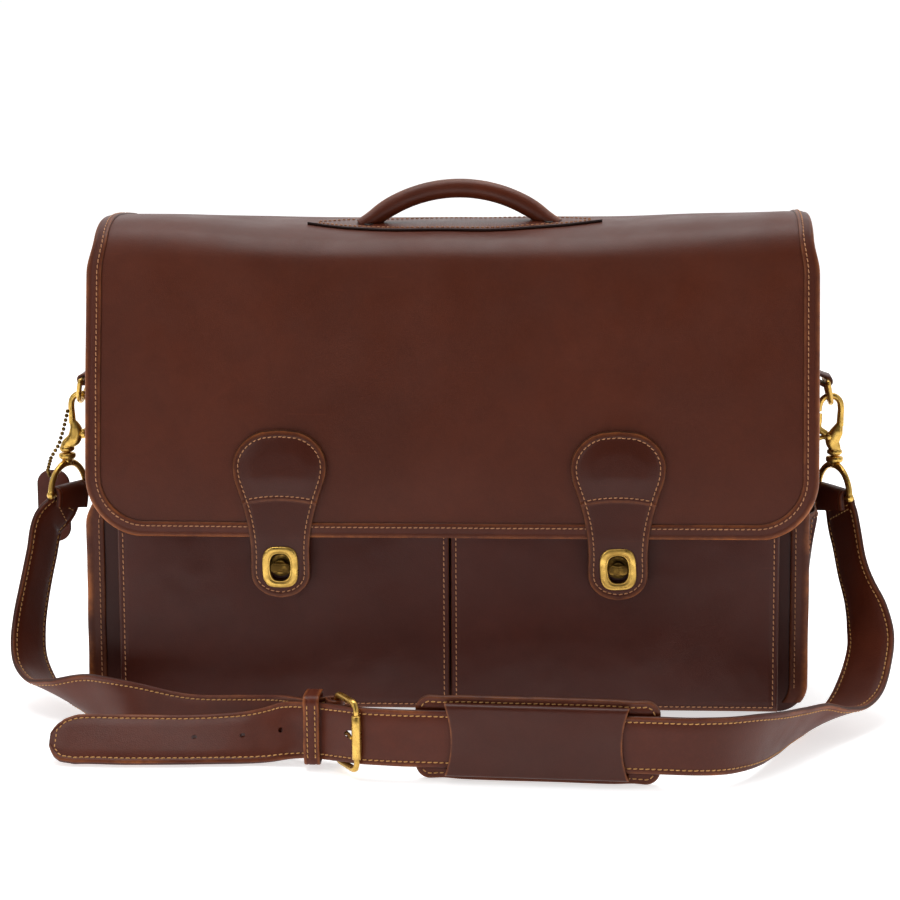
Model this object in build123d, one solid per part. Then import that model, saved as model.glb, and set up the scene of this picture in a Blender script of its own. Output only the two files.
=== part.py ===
from build123d import *
import os
from math import sin, cos, radians, pi, sqrt, atan2, degrees

# Leather flap briefcase with shoulder strap.  Millimetres.
# +X to the wearer-side right, +Y to the back, +Z up.
# Origin: middle of the base, on the surface the bag stands on.

# ------------------------------------------------------------------ sizes
BODY_W = 424.0          # width over front and back panels
BACK_Y = 62.0           # outer face of the back panel
BACK_H = 281.0
FRONT_BOT_Y = -61.5     # outer face of the front panel at the base
FRONT_TOP_Y = -48.0     # and at its top edge
FRONT_H = 262.0
WALL = 3.5              # leather with its lining
GUSSET_X = 209.5        # outer face of the side gussets
FLAP_W = 432.0
FLAP_T = 2.8
FLAP_BOTTOM_Z = 109.0
FLAP_CORNER_R = 35.0
BINDING_W = 9.0
LOCK_X = 99.7           # turn locks, left and right of the middle
LOCK_Z = 91.6
POCKET_TOP_Z = 120.0
STRAP_W = 32.0
STRAP_T = 3.2
RING_R = 14.5           # centre-line radius of the D rings
RING_WIRE = 1.6
SWING_Z = 192.0         # height of both ring bars, the strap swings about them
BAR_X = {"left": -231.0, "right": 225.5}
HOOK_R = 6.25           # centre-line radius of the snap hook's crown
HOOK_WIRE = 1.75
RING_TILT = 12.0        # the rings hang outward by this angle

os.makedirs("parts", exist_ok=True)
NODES = []


def out(name, shape, sub=None):
    shape.label = name
    export_step(shape, f"parts/{name}.step")
    NODES.append(name)


def V(*p):
    return Vector(*p)


def poly_x(points, x0, x1):
    """A prism with a YZ outline, from x0 to x1."""
    w = Wire.make_polygon([V(x0, y, z) for y, z in points], close=True)
    return Solid.extrude(Face(w), V(x1 - x0, 0, 0))


def poly_y(points, y0, y1):
    """A prism with an XZ outline, from y0 to y1."""
    w = Wire.make_polygon([V(x, y0, z) for x, z in points], close=True)
    return Solid.extrude(Face(w), V(0, y1 - y0, 0))


def block(x0, x1, y0, y1, z0, z1):
    return Solid.make_box(x1 - x0, y1 - y0, z1 - z0, Plane(origin=(x0, y0, z0)))


def cyl(a, b, r):
    a, b = V(*a), V(*b)
    d = b - a
    return Solid.make_cylinder(r, d.length, Plane(origin=a, z_dir=d.normalized()))


def one(shape):
    """The single solid of a boolean's result."""
    s = shape.solids() if hasattr(shape, "solids") else [shape]
    return s[0] if len(s) == 1 else Compound(children=list(s))


def rounded_outline_y(w, z0, z1, r, y0, y1, top_r=0.01):
    """A prism along Y: a rectangle with its two lower corners rounded."""
    x = w / 2
    pts = []
    for cx, a0 in ((x - r, 270), (-x + r, 180)):
        arc = []
        for i in range(9):
            a = radians(a0 + 90 * i / 8)
            arc.append((cx + r * cos(a), z0 + r + r * sin(a)))
        if a0 == 270:
            pts += arc
            pts += [(x, z1), (-x, z1)]
        else:
            pts += arc
    return poly_y(pts, y0, y1)


# ------------------------------------------------------------------ main body
def front_y(z):
    """Outer face of the slanted front panel."""
    return FRONT_BOT_Y + (FRONT_TOP_Y - FRONT_BOT_Y) * z / FRONT_H


out("back_panel", rounded_outline_y(BODY_W, 0, BACK_H, 16, BACK_Y - WALL, BACK_Y))

fp = poly_x([(front_y(0), 0), (front_y(0) + WALL, 0),
             (front_y(FRONT_H) + WALL, FRONT_H), (front_y(FRONT_H), FRONT_H)],
            -BODY_W / 2, BODY_W / 2)
fp = fp & rounded_outline_y(BODY_W, -0.0, FRONT_H, 18, -90, 0)
LOCKS = {"left": -LOCK_X, "right": LOCK_X}
out("front_panel", one(fp))

yb0, yb1 = front_y(3.5) + WALL, BACK_Y - WALL
out("bottom_panel", block(-GUSSET_X + 16, GUSSET_X - 16, yb0, yb1, 0.0, 3.5))


def gusset(side):
    s = 1 if side == "right" else -1
    a, b = s * (GUSSET_X - 3), s * GUSSET_X
    x0, x1 = min(a, b), max(a, b)
    # side wall with a rounded turn into the base
    wall = poly_x([(front_y(19) + WALL, 19), (BACK_Y - WALL, 19), (BACK_Y - WALL, 275.0),
                   (36.4, 272), (29.6, 272), (9.4, 269.8), (7.0, 261), (front_y(261) + WALL, 261)], x0, x1)
    turn = []
    for r0 in (16.0, 13.0):
        arc = [(s * (GUSSET_X - 16) + s * r0 * sin(radians(t)), 19 - 3 - 0 + 0 - r0 * cos(radians(t)) + 0)
               for t in range(0, 91, 15)]
        turn.append(arc)
    # outer arc ends at (GUSSET_X, 16); lift it to 19 with a straight bit
    o = [(x, z) for x, z in turn[0]] + [(s * GUSSET_X, 19)]
    i = [(x, z) for x, z in turn[1]] + [(s * (GUSSET_X - 3), 19)]
    t = poly_y(o + i[::-1], front_y(19) + WALL + 1.0, BACK_Y - WALL)
    return one(wall + t)


for side in ("left", "right"):
    out(f"gusset_{side}", gusset(side))

out("divider_panel", block(-206.4, 206.4, 7.0, 9.4, 3.5 + 13, 272))

# binding strips on the two long vertical edges of the front panel
group = []
for s in (-1, 1):
    x0, x1 = sorted((s * 202.0, s * 212.0))
    pts = [(front_y(20) - 1.4, 20), (front_y(20), 20), (front_y(258), 258), (front_y(258) - 1.4, 258)]
    group.append(poly_x(pts, x0, x1))
out("front_panel_bindings", Compound(children=group))

# leather pieces that cover the zip's ends, low on each side
for side, s in (("left", -1), ("right", 1)):
    pts = [(s * GUSSET_X, 19), (s * (GUSSET_X + 3.0), 19), (s * (GUSSET_X + 4.5), 60), (s * (GUSSET_X + 6.5), 86),
           (s * (GUSSET_X + 11.0), 112), (s * (GUSSET_X + 10.5), 118), (s * (GUSSET_X + 7.5), 118),
           (s * (GUSSET_X + 3.5), 86), (s * GUSSET_X, 70)]
    out(f"gusset_cover_{side}", poly_y(pts, -46, 46))

# ------------------------------------------------------------------ zip closure
COIL_Z0, COIL_Z1 = 272.0, 274.6
out("zip_tape_front", poly_x([(9.4, 270.0), (9.4, 272.0), (29.6, 274.2), (29.6, 272.2)], -206, 206))
out("zip_tape_rear", poly_x([(36.4, 272.2), (36.4, 274.2), (58.5, 277.2), (58.5, 275.2)], -206, 206))
out("zip_coil_front", block(-200, 196, 29.6, 32.2, COIL_Z0 + 0.2, COIL_Z1))
out("zip_coil_rear", block(-200, 196, 33.8, 36.4, COIL_Z0 + 0.2, COIL_Z1))
out("zip_end_stops", Compound(children=[block(-206, -200, 29.6, 36.4, COIL_Z0, COIL_Z1 + 0.3),
                                        block(196, 206, 29.6, 36.4, COIL_Z0, COIL_Z1 + 0.3)]))
group = []
for s in (-1, 1):
    pts = [(s * GUSSET_X, 119), (s * (GUSSET_X + 12.0), 119), (s * (GUSSET_X + 10.5), 150), (s * (GUSSET_X + 7.0), 190),
           (s * (GUSSET_X + 3.0), 235), (s * (GUSSET_X + 1.2), 262), (s * GUSSET_X, 262)]
    group.append(poly_y(pts, 22, 44))
out("zip_side_tapes", Compound(children=group))

SL = 168.0
slider = (block(SL - 6, SL + 6, 28.2, 37.8, COIL_Z1 + 0.4, COIL_Z1 + 1.8)
          + block(SL - 6, SL + 6, 28.2, 37.8, COIL_Z0 - 2.2, COIL_Z0 - 0.6)
          + block(SL - 4, SL + 3, 32.65, 33.35, COIL_Z0 - 0.8, COIL_Z1 + 0.6)
          + block(SL - 3, SL + 5, 31.6, 34.4, COIL_Z1 + 1.7, COIL_Z1 + 2.6))
out("zip_slider", one(slider))
pull = Solid.make_box(26, 9, 1.5, Plane(origin=(SL + 5.4, 28.5, COIL_Z1 + 2.2)))
out("zip_pull", pull)

# ------------------------------------------------------------------ front pockets
def pocket_y(z):
    """Outer face of the pockets."""
    return -81.0 + 5.2 * (z - 5) / 115.0


PK_X = 191.0
for side, s in (("left", -1), ("right", 1)):
    x0, x1 = sorted((s * 0.6, s * PK_X))
    wall = poly_x([(pocket_y(5), 5), (pocket_y(5) + 2.4, 5), (pocket_y(POCKET_TOP_Z) + 2.4, POCKET_TOP_Z),
                   (pocket_y(POCKET_TOP_Z), POCKET_TOP_Z)], x0, x1)
    hole = cyl((s * LOCK_X, -90, LOCK_Z), (s * LOCK_X, -60, LOCK_Z), 2.6)
    out(f"pocket_{side}_front", one(wall - hole))
    parts = []
    for xa in (x0 + 1.5, x1 - 3.7):
        parts.append(poly_x([(pocket_y(7.5) + 2.4, 7.5), (front_y(7.5), 7.5), (front_y(POCKET_TOP_Z - 3), POCKET_TOP_Z - 3),
                             (pocket_y(POCKET_TOP_Z - 3) + 2.4, POCKET_TOP_Z - 3)], xa, xa + 2.2))
    base = poly_x([(pocket_y(5) + 2.4, 5), (front_y(5), 5), (front_y(7.5), 7.5), (pocket_y(7.5) + 2.4, 7.5)],
                  x0 + 1.5, x1 - 1.5)
    out(f"pocket_{side}_gusset", one(parts[0] + base + parts[1]))

# ------------------------------------------------------------------ turn locks
washers, backings = [], []
for side, x in LOCKS.items():
    py = pocket_y(LOCK_Z)
    post = (cyl((x, py - 0.7, LOCK_Z), (x, -84.0, LOCK_Z), 4.0)
            + cyl((x, py - 0.6, LOCK_Z), (x, py - 1.8, LOCK_Z), 6.5)
            + cyl((x, py - 1.0, LOCK_Z), (x, py + 3.6, LOCK_Z), 2.5))
    post = post - cyl((x, -85, LOCK_Z), (x, py + 1.4, LOCK_Z), 1.75)
    out(f"lock_post_{side}", one(post))
    washers.append(one(cyl((x, py + 2.9, LOCK_Z), (x, py + 4.0, LOCK_Z), 7.0)
                       - cyl((x, py + 2, LOCK_Z), (x, py + 5, LOCK_Z), 2.55)))
    bar = block(x - 5.5, x + 5.5, -88.0, -84.3, LOCK_Z - 3.1, LOCK_Z + 3.1)
    bar = bar.fillet(1.2, bar.edges().filter_by(Axis.Y))
    knob = bar + cyl((x, -85.0, LOCK_Z), (x, py + 0.6, LOCK_Z), 1.65)
    out(f"lock_knob_{side}", one(knob))
out("lock_washers", Compound(children=washers))

# ------------------------------------------------------------------ flap
FOLD = (-42.0, 284.6)       # hinge line of the front fold, on the outer face
REAR = (62.6, 284.6)        # hinge line at the back edge
top_outer = [(62.2, 284.4), (40, 286.6), (10, 288.0), (-15, 288.0), (-33, 286.8), (-41.6, 284.5)]
top_inner = [(-41.3, 281.6), (-33, 284.0), (-15, 285.2), (10, 285.2), (40, 283.8), (62.2, 281.8)]


def flap_top_piece(x0, x1, grow=0.0):
    o = [(y, z + grow) for y, z in top_outer]
    i = [(y, z - grow) for y, z in top_inner]
    return poly_x(o + i, x0, x1)


out("flap_top_panel", flap_top_piece(-FLAP_W / 2 + BINDING_W, FLAP_W / 2 - BINDING_W))
group = []
for s in (-1, 1):
    x0, x1 = sorted((s * (FLAP_W / 2 - BINDING_W), s * FLAP_W / 2))
    group.append(flap_top_piece(x0, x1, 0.0))
out("flap_top_bindings", Compound(children=group))

front_outer = [(-42.4, 284.2), (-49.5, 276.0), (-54.8, 259.0), (-60.5, 232), (-69.5, 190), (-76.8, 146), (-80.3, FLAP_BOTTOM_Z)]


def offset_line(pts, d):
    """The line moved sideways by d, to its right when walking along it."""
    res = []
    for i, (y, z) in enumerate(pts):
        a = pts[max(i - 1, 0)]
        b = pts[min(i + 1, len(pts) - 1)]
        ty, tz = b[0] - a[0], b[1] - a[1]
        n = sqrt(ty * ty + tz * tz)
        res.append((y - tz / n * d, z + ty / n * d))
    return res


def flap_front_y(z, lift=0.0):
    pts = front_outer
    for (ya, za), (yb, zb) in zip(pts, pts[1:]):
        if zb <= z <= za:
            return ya + (yb - ya) * (za - z) / (za - zb) - lift
    return pts[-1][0] - lift


front_inner = offset_line(front_outer, FLAP_T)
front_inner[0] = (-42.3, 281.2)
shell = poly_x(front_outer + front_inner[::-1], -FLAP_W / 2, FLAP_W / 2)
inner_cut = rounded_outline_y(FLAP_W - 2 * BINDING_W, FLAP_BOTTOM_Z + BINDING_W, 300, FLAP_CORNER_R - BINDING_W, -120, 0)
outer_cut = rounded_outline_y(FLAP_W, FLAP_BOTTOM_Z - 1, 300, FLAP_CORNER_R, -120, 0)
out("flap_front_panel", one(shell & inner_cut))
out("flap_front_binding", one((shell & outer_cut) - inner_cut))

# closing tabs: paddle outlines, half widths by height
TAB_HALF = [(172.5, 0.0), (171.5, 12), (168, 19), (162, 25), (155, 27.6), (149, 27.4), (138, 24.5), (126, 21.0),
            (115, 18.5), (106, 17.6), (90, 17.6), (84, 17.0), (78, 13.5), (74.5, 8.0), (73, 0.0)]
for side, x in LOCKS.items():
    right = [(x + h, z) for z, h in TAB_HALF]
    left = [(x - h, z) for z, h in TAB_HALF[1:-1]]
    outline = poly_y(right + left[::-1], -120, 0)
    zs = [175, 160, 146, 128, FLAP_BOTTOM_Z]
    o = [(flap_front_y(z, 3.2), z) for z in zs] + [(-83.5, 103.5), (-83.5, 70)]
    i = [(flap_front_y(z, 0.0), z) for z in zs] + [(-80.5, 103.5), (-80.5, 70)]
    tab = poly_x(o + i[::-1], x - 30, x + 30) & outline
    # the lock's opening through the leather
    slot = block(x - 6.3, x + 6.3, -95, -70, LOCK_Z - 8.3, LOCK_Z + 8.3)
    slot = slot.fillet(5.5, slot.edges().filter_by(Axis.Y))
    tab = one(one(tab) - slot)
    out(f"tab_{side}", tab)
    plate = block(x - 10.2, x + 10.2, -84.9, -83.5, LOCK_Z - 12, LOCK_Z + 12)
    plate = plate.fillet(6.0, plate.edges().filter_by(Axis.Y))
    out(f"lock_plate_{side}", one(plate - slot))
    back = block(x - 9.2, x + 9.2, -80.5, -79.7, LOCK_Z - 11, LOCK_Z + 11)
    back = back.fillet(5.5, back.edges().filter_by(Axis.Y))
    backings.append(one(back - slot))
out("lock_backings", Compound(children=backings))

# ------------------------------------------------------------------ handle and its patch
HANDLE_Y, HANDLE_Z = -7.0, 293.4
HANDLE_REST = 80.0      # the handle stands up, leaning back by ten degrees
patch = [(-90, -8), (-70, -18), (-40, -25.5), (0, -27.5), (40, -25.5), (70, -18), (90, -8), (70, 3), (40, 10), (0, 13), (-40, 10), (-70, 3)]
pw = Wire.make_polygon([V(x, y, 288.1) for x, y in patch], close=True)
out("handle_patch", Solid.extrude(Face(pw), V(0, 0, 2.2)))

HANDLE_X = 2.8          # the handle sits a little to the right of the middle
H_RAD, H_UP, TUBE_R = 80.0, 16.0, 5.7


def handle_frame(shape):
    """From upright, in the XZ plane with its axis at the origin, to its place."""
    return shape.rotate(Axis.X, -(90 - HANDLE_REST)).moved(Location((HANDLE_X, HANDLE_Y, HANDLE_Z)))


zc = H_UP - H_RAD
GRIP_Z = 6.6            # the round grip starts this far above the hinge line
gx_ = sqrt(H_RAD ** 2 - (GRIP_Z - zc) ** 2)
arc = Edge.make_three_point_arc(V(-gx_, 0, GRIP_Z), V(0, 0, H_UP), V(gx_, 0, GRIP_Z))
t0 = arc.tangent_at(0)
prof = Face(Wire([Edge.make_circle(TUBE_R, Plane(origin=arc.position_at(0), z_dir=t0))]))
tube = Solid.sweep(prof, Wire([arc]))
lugs = []
for s in (-1, 1):
    lug = poly_y([(s * 60.0, -2.0), (s * 43.0, -2.0), (s * 34.5, 3.4), (s * 39.5, 10.6)], -2.0, 2.0)
    lugs.append(lug)
out("handle_grip", one(handle_frame(tube)))
out("handle_ends", Compound(children=[one(handle_frame(one(lug - tube))) for lug in lugs]))

# ------------------------------------------------------------------ ring chapes and D rings
for side, bx in BAR_X.items():
    s = 1 if side == "right" else -1
    sleeve = cyl((bx, -8, SWING_Z), (bx, 8, SWING_Z), RING_WIRE + 1.9)
    gx = s * (GUSSET_X + 0.0)
    arm = poly_y([(gx, SWING_Z + 6.5), (gx, SWING_Z + 3.0), (bx - s * 1.0, SWING_Z - 0.6), (bx, SWING_Z + 3.4)], -8, 8)
    pad_ = block(*sorted((gx, gx + s * 2.2)), -11, 11, SWING_Z - 30, SWING_Z + 10)
    ch = (arm + sleeve + pad_) - cyl((bx, -20, SWING_Z), (bx, 20, SWING_Z), RING_WIRE + 0.3)
    out(f"ring_chape_{side}", one(ch))
    # D ring: straight bar along Y, half ring hanging from its ends, tilted outward
    half = Solid.make_torus(RING_R, RING_WIRE, Plane(origin=(0, 0, 0), z_dir=(1, 0, 0)))
    half = half & block(-4, 4, -30, 30, -30, 0)
    ring = one(half + cyl((0, -RING_R - 0.6, 0), (0, RING_R + 0.6, 0), RING_WIRE))
    ring = ring.rotate(Axis.Y, -s * RING_TILT).moved(Location((bx, 0, SWING_Z)))
    out(f"d_ring_{side}", one(ring))

# ------------------------------------------------------------------ snap hooks
HOOK_X = {k: BAR_X[k] + (1 if k == "right" else -1) * RING_R * sin(radians(RING_TILT)) for k in BAR_X}
HOOK_Z = SWING_Z - RING_R * cos(radians(RING_TILT)) - 1.9    # crown's centre
STEM_X = {"left": -244.0, "right": 231.5}
COLLAR_Z = 143.0
PIVOT_Z = 157.0
for side, hx in HOOK_X.items():
    s = 1 if side == "right" else -1
    crown = Solid.make_torus(HOOK_R, HOOK_WIRE, Plane(origin=(hx, 0, HOOK_Z), z_dir=(0, 1, 0)))
    crown = crown & block(hx - 12, hx + 12, -4, 4, HOOK_Z, HOOK_Z + 12)
    xo, xi = hx + s * HOOK_R, hx - s * HOOK_R
    sx = STEM_X[side]
    tip = cyl((xi, 0, HOOK_Z), (xi, 0, HOOK_Z - 3.5), HOOK_WIRE)
    shank = cyl((xo, 0, HOOK_Z), (xo, 0, 160), HOOK_WIRE)
    web = poly_y([(xo - s * 1.5, 164), (xo + s * 1.5, 164), (sx + s * 2.6, 147.5), (sx - s * 2.6, 147.5)], -1.9, 1.9)
    px = hx - s * 1.0
    # two cheeks hold the gate's pin
    cheek_pts = [(px - s * 3.4, PIVOT_Z - 3.2), (px - s * 3.4, PIVOT_Z + 3.2), (xo + s * 0.5, PIVOT_Z + 6.5), (xo + s * 1.8, PIVOT_Z - 1), (sx + s * 1.5, 148.5), (sx - s * 2.0, 148.5)]
    cheeks = poly_y(cheek_pts, -3.6, -1.9) + poly_y(cheek_pts, 1.9, 3.6)
    foot = block(sx - 4.4, sx + 4.4, -3.6, 3.6, COLLAR_Z + 2.3, COLLAR_Z + 5.6)
    stem = cyl((sx, 0, COLLAR_Z + 3), (sx, 0, COLLAR_Z - 4.6), 1.8) + cyl((sx, 0, COLLAR_Z - 2.4), (sx, 0, COLLAR_Z - 5.2), 3.4)
    pin = cyl((px, -3.6, PIVOT_Z), (px, 3.6, PIVOT_Z), 1.1)
    body = crown + tip + shank + web + cheeks + foot + stem + pin
    # room for the gate's hub between the cheeks
    body = body - (cyl((px, -1.9, PIVOT_Z), (px, 1.9, PIVOT_Z), 3.6) - cyl((px, -1.9, PIVOT_Z), (px, 1.9, PIVOT_Z), 1.1))
    out(f"hook_{side}", one(body))
    gate = (cyl((px, -1.55, PIVOT_Z), (px, 1.55, PIVOT_Z), 3.1)
            + poly_y([(px - s * 1.5, PIVOT_Z), (px - s * 3.0, PIVOT_Z), (xi - s * 1.6, HOOK_Z - 4.9), (xi + s * 1.6, HOOK_Z - 4.9)], -1.55, 1.55)
            + poly_y([(px - s * 0.5, PIVOT_Z + 1.6), (px - s * 0.5, PIVOT_Z - 1.6), (px - s * 9.4, PIVOT_Z - 2.6), (px - s * 9.4, PIVOT_Z - 0.8)], -1.55, 1.55))
    gate = gate - cyl((px, -3, PIVOT_Z), (px, 3, PIVOT_Z), 1.2)
    out(f"hook_gate_{side}", one(gate))

# ------------------------------------------------------------------ strap stations
# centre, width direction (lower edge to upper edge) and half width
def unit(v):
    n = sqrt(sum(c * c for c in v))
    return tuple(c / n for c in v)


H = STRAP_W / 2
LONG = [
    ((-219.6, -175.5, 11.4), (0, 0.75, 0.66), 4.5),
    ((-217, -175.4, 11.4), (0, 0.75, 0.66), 10),
    ((-212.5, -175.3, 11.4), (0, 0.75, 0.66), 13.8),
    ((-203, -175.0, 12.1), (0, 0.75, 0.66), H),
    ((-174, -174.8, 12.2), (0, 0.745, 0.67), H),
    ((-140, -172.9, 12), (0, 0.76, 0.65), H),
    ((-121, -171.4, 12.4), (0, 0.73, 0.68), H),
    ((-106.5, -170.6, 13.3), (0, 0.66, 0.75), H),
    ((-95.8, -171.8, 15.4), (0, 0.52, 0.85), H),
    ((-85.5, -174.8, 18.6), (0, 0.28, 0.96), H),
    ((-73.5, -179.3, 20.6), (0, 0.04, 1), H),
    ((-65.5, -183.2, 21.3), (0, 0.02, 1), H),
    ((-57.5, -188.8, 22.1), (0, 0, 1), H),
    ((-49.5, -194.2, 22.9), (0, 0, 1), H),
    ((-41.5, -199, 23.4), (0, 0, 1), H),
    ((-25, -202, 23.5), (0, 0, 1), H),
    ((142, -212.35, 23.5), (0, 0, 1), H),
    ((158, -206, 22.3), (0.12, 0.05, 0.99), H),
    ((172, -193.3, 20.6), (0.26, 0.1, 0.96), H),
    ((184, -175.7, 17.8), (0.47, 0.22, 0.85), H),
    ((196, -153, 15.1), (0.62, 0.28, 0.72), H),
    ((208, -131, 13.6), (0.74, 0.2, 0.6), H),
    ((219.8, -111, 10.3), (0.86, -0.1, 0.48), H),
    ((231.5, -93, 11), (0.92, -0.22, 0.33), H),
    ((241.2, -77.2, 17.4), (0.92, -0.3, 0.27), H),
    ((247.3, -63.4, 28.8), (0.86, -0.41, 0.31), H),
    ((250.7, -49.4, 41.9), (0.77, -0.56, 0.29), H),
    ((249.6, -38.6, 52.6), (0.67, -0.69, 0.28), H),
    ((246.4, -27.6, 64), (0.5, -0.81, 0.3), H),
    ((242, -17.4, 79), (0.43, -0.84, 0.32), H),
    ((239.3, -10.6, 96.5), (0.41, -0.87, 0.26), H),
    ((237.6, -5.6, 115), (0.47, -0.87, 0.12), H),
]
SHORT = [
    ((-251.6, -4.4, 113), (-0.43, -0.88, 0.2), H),
    ((-255.5, -10, 101.5), (-0.36, -0.88, 0.3), H),
    ((-258.8, -16, 83.6), (-0.32, -0.87, 0.37), H),
    ((-262, -24.5, 62.6), (-0.32, -0.84, 0.44), H),
    ((-263.3, -34.4, 45), (-0.38, -0.79, 0.49), H),
    ((-262, -44.5, 30.8), (-0.48, -0.7, 0.53), H),
    ((-255.7, -57.6, 19.2), (-0.68, -0.5, 0.54), H),
    ((-244, -72.4, 12.8), (-0.82, -0.24, 0.5), H),
    ((-228, -89, 13), (-0.8, 0.02, 0.52), H),
    ((-206.5, -107.5, 16.2), (-0.66, 0.34, 0.62), H),
    ((-181, -129, 16), (-0.4, 0.52, 0.72), H),
    ((-150, -142, 14.2), (-0.1, 0.62, 0.77), H),
    ((-113, -150.6, 15.6), (-0.04, 0.46, 0.88), H),
    ((-91.3, -159, 18), (0, 0.22, 0.97), H),
    ((-81.5, -167, 19.6), (0, 0.08, 1), H),
    ((-73.5, -173.2, 20.8), (0, 0, 1), H),
    ((-65.5, -177.4, 22), (0, 0, 1), H),
    ((-59.5, -179.6, 22.8), (0, 0, 1), H),
]


def ribbon(stations, t):
    """A flat band through the stations: a closed shell of triangles."""
    n = len(stations)
    rings = []
    for i, (c, w, h) in enumerate(stations):
        a = stations[max(i - 1, 0)][0]
        b = stations[min(i + 1, n - 1)][0]
        L = unit([b[k] - a[k] for k in range(3)])
        d = sum(w[k] * L[k] for k in range(3))
        W = unit([w[k] - d * L[k] for k in range(3)])
        N = (L[1] * W[2] - L[2] * W[1], L[2] * W[0] - L[0] * W[2], L[0] * W[1] - L[1] * W[0])
        ring = []
        for u, v in ((-h, -t / 2), (h, -t / 2), (h, t / 2), (-h, t / 2)):
            ring.append(V(*[c[k] + W[k] * u + N[k] * v for k in range(3)]))
        rings.append(ring)
    faces = []

    def tri(p, q, r):
        faces.append(Face(Wire.make_polygon([p, q, r], close=True)))

    for i in range(n - 1):
        A, B = rings[i], rings[i + 1]
        for k in range(4):
            m = (k + 1) % 4
            tri(A[k], B[k], B[m])
            tri(A[k], B[m], A[m])
    for ring in (rings[0], rings[-1]):
        tri(ring[0], ring[1], ring[2])
        tri(ring[0], ring[2], ring[3])
    return Solid(Shell(faces)), rings


strap_long, long_rings = ribbon(LONG, STRAP_T)
strap_short, short_rings = ribbon(SHORT, STRAP_T)

# strap eyes: half rings with a bar that the strap folds round, and a collar on top
EYE_R, EYE_WIRE, BAR_R = 17.6, 1.9, 1.6
EYE_BAR_Z = {"left": 120.6, "right": 121.6}
EYE_DIR = {"left": unit((-.44, -.90, 0)), "right": unit((.48, -.88, 0))}
EYE_C = {}
for side, sx in STEM_X.items():
    s = 1 if side == "right" else -1
    d = EYE_DIR[side]
    cx, cy, cz = sx, 0.0, EYE_BAR_Z[side]
    EYE_C[side] = (cx, cy, cz)
    nrm = (d[1], -d[0], 0)
    tor = Solid.make_torus(EYE_R, EYE_WIRE, Plane(origin=(cx, cy, cz), z_dir=nrm))
    tor = tor & block(cx - 30, cx + 30, cy - 30, cy + 30, cz, cz + 30)
    bar = cyl((cx - d[0] * (EYE_R + 1.2), cy - d[1] * (EYE_R + 1.2), cz), (cx + d[0] * (EYE_R + 1.2), cy + d[1] * (EYE_R + 1.2), cz), BAR_R)
    top = cz + EYE_R
    collar = cyl((cx, cy, COLLAR_Z - 2.0), (cx, cy, COLLAR_Z + 2.0), 5.2)
    eye = tor + bar + collar
    # bore for the hook's stem, and room below for its button
    eye = eye - cyl((cx, cy, COLLAR_Z - 9), (cx, cy, COLLAR_Z + 6), 2.0)
    eye = eye - cyl((cx, cy, COLLAR_Z - 9), (cx, cy, COLLAR_Z - 2.0), 3.8)
    # short bridge pieces keep the collar on the arms beside the button
    for q in (-1, 1):
        bx0 = (cx + q * d[0] * 6.2, cy + q * d[1] * 6.2)
        eye = eye + cyl((bx0[0], bx0[1], cz + sqrt(EYE_R ** 2 - 6.2 ** 2) - 0.4), (cx + q * d[0] * 4.6, cy + q * d[1] * 4.6, COLLAR_Z + 1.0), 1.7)
    eye = eye - cyl((cx, cy, COLLAR_Z - 9), (cx, cy, COLLAR_Z + 6), 2.0)
    eye = eye - cyl((cx, cy, COLLAR_Z - 9), (cx, cy, COLLAR_Z - 2.0), 3.8)
    out(f"strap_eye_{side}", one(eye))


def fold(strap, side, first):
    """Close the strap's end round the eye's bar."""
    cx, cy, cz = EYE_C[side]
    d = EYE_DIR[side]
    sl = cyl((cx - d[0] * 14.6, cy - d[1] * 14.6, cz), (cx + d[0] * 14.6, cy + d[1] * 14.6, cz), BAR_R + 3.2)
    r = first
    mid = [(r[k] + r[(k + 3) % 4]) * 0.5 for k in range(4)]
    lower = [(r[0].X, r[0].Y, r[0].Z), (r[1].X, r[1].Y, r[1].Z), (r[2].X, r[2].Y, r[2].Z), (r[3].X, r[3].Y, r[3].Z)]
    nx, ny = d[1], -d[0]
    up = []
    for e, q in ((-1, -1), (1, -1), (1, 1), (-1, 1)):
        # e along the bar, q across it
        up.append((cx + e * d[0] * 14.6 + q * nx * 1.6, cy + e * d[1] * 14.6 + q * ny * 1.6, cz - 2.6))
    # match the order of the strap's corner points to the nearest upper ones
    best = None
    from itertools import permutations
    for p in permutations(range(4)):
        c = sum(sum((lower[i][k] - up[p[i]][k]) ** 2 for k in range(3)) for i in range(4))
        if best is None or c < best[0]:
            best = (c, p)
    U = [V(*up[best[1][i]]) for i in range(4)]
    Lw = [V(*p) for p in lower]
    faces = []
    for k in range(4):
        m = (k + 1) % 4
        faces.append(Face(Wire.make_polygon([Lw[k], U[k], U[m]], close=True)))
        faces.append(Face(Wire.make_polygon([Lw[k], U[m], Lw[m]], close=True)))
    for q in (Lw, U):
        faces.append(Face(Wire.make_polygon([q[0], q[1], q[2]], close=True)))
        faces.append(Face(Wire.make_polygon([q[0], q[2], q[3]], close=True)))
    neck = Solid(Shell(faces))
    res = strap + neck + sl
    return one(res - cyl((cx - d[0] * 30, cy - d[1] * 30, cz), (cx + d[0] * 30, cy + d[1] * 30, cz), BAR_R + 0.15))


# buckle
HEEL = (-56.0, -181.4)
ROLL = (-42.8, -203.4)
B_Z = 23.5
bd = unit((ROLL[0] - HEEL[0], ROLL[1] - HEEL[1], 0))
B_LEN = sqrt((ROLL[0] - HEEL[0]) ** 2 + (ROLL[1] - HEEL[1]) ** 2)
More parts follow.
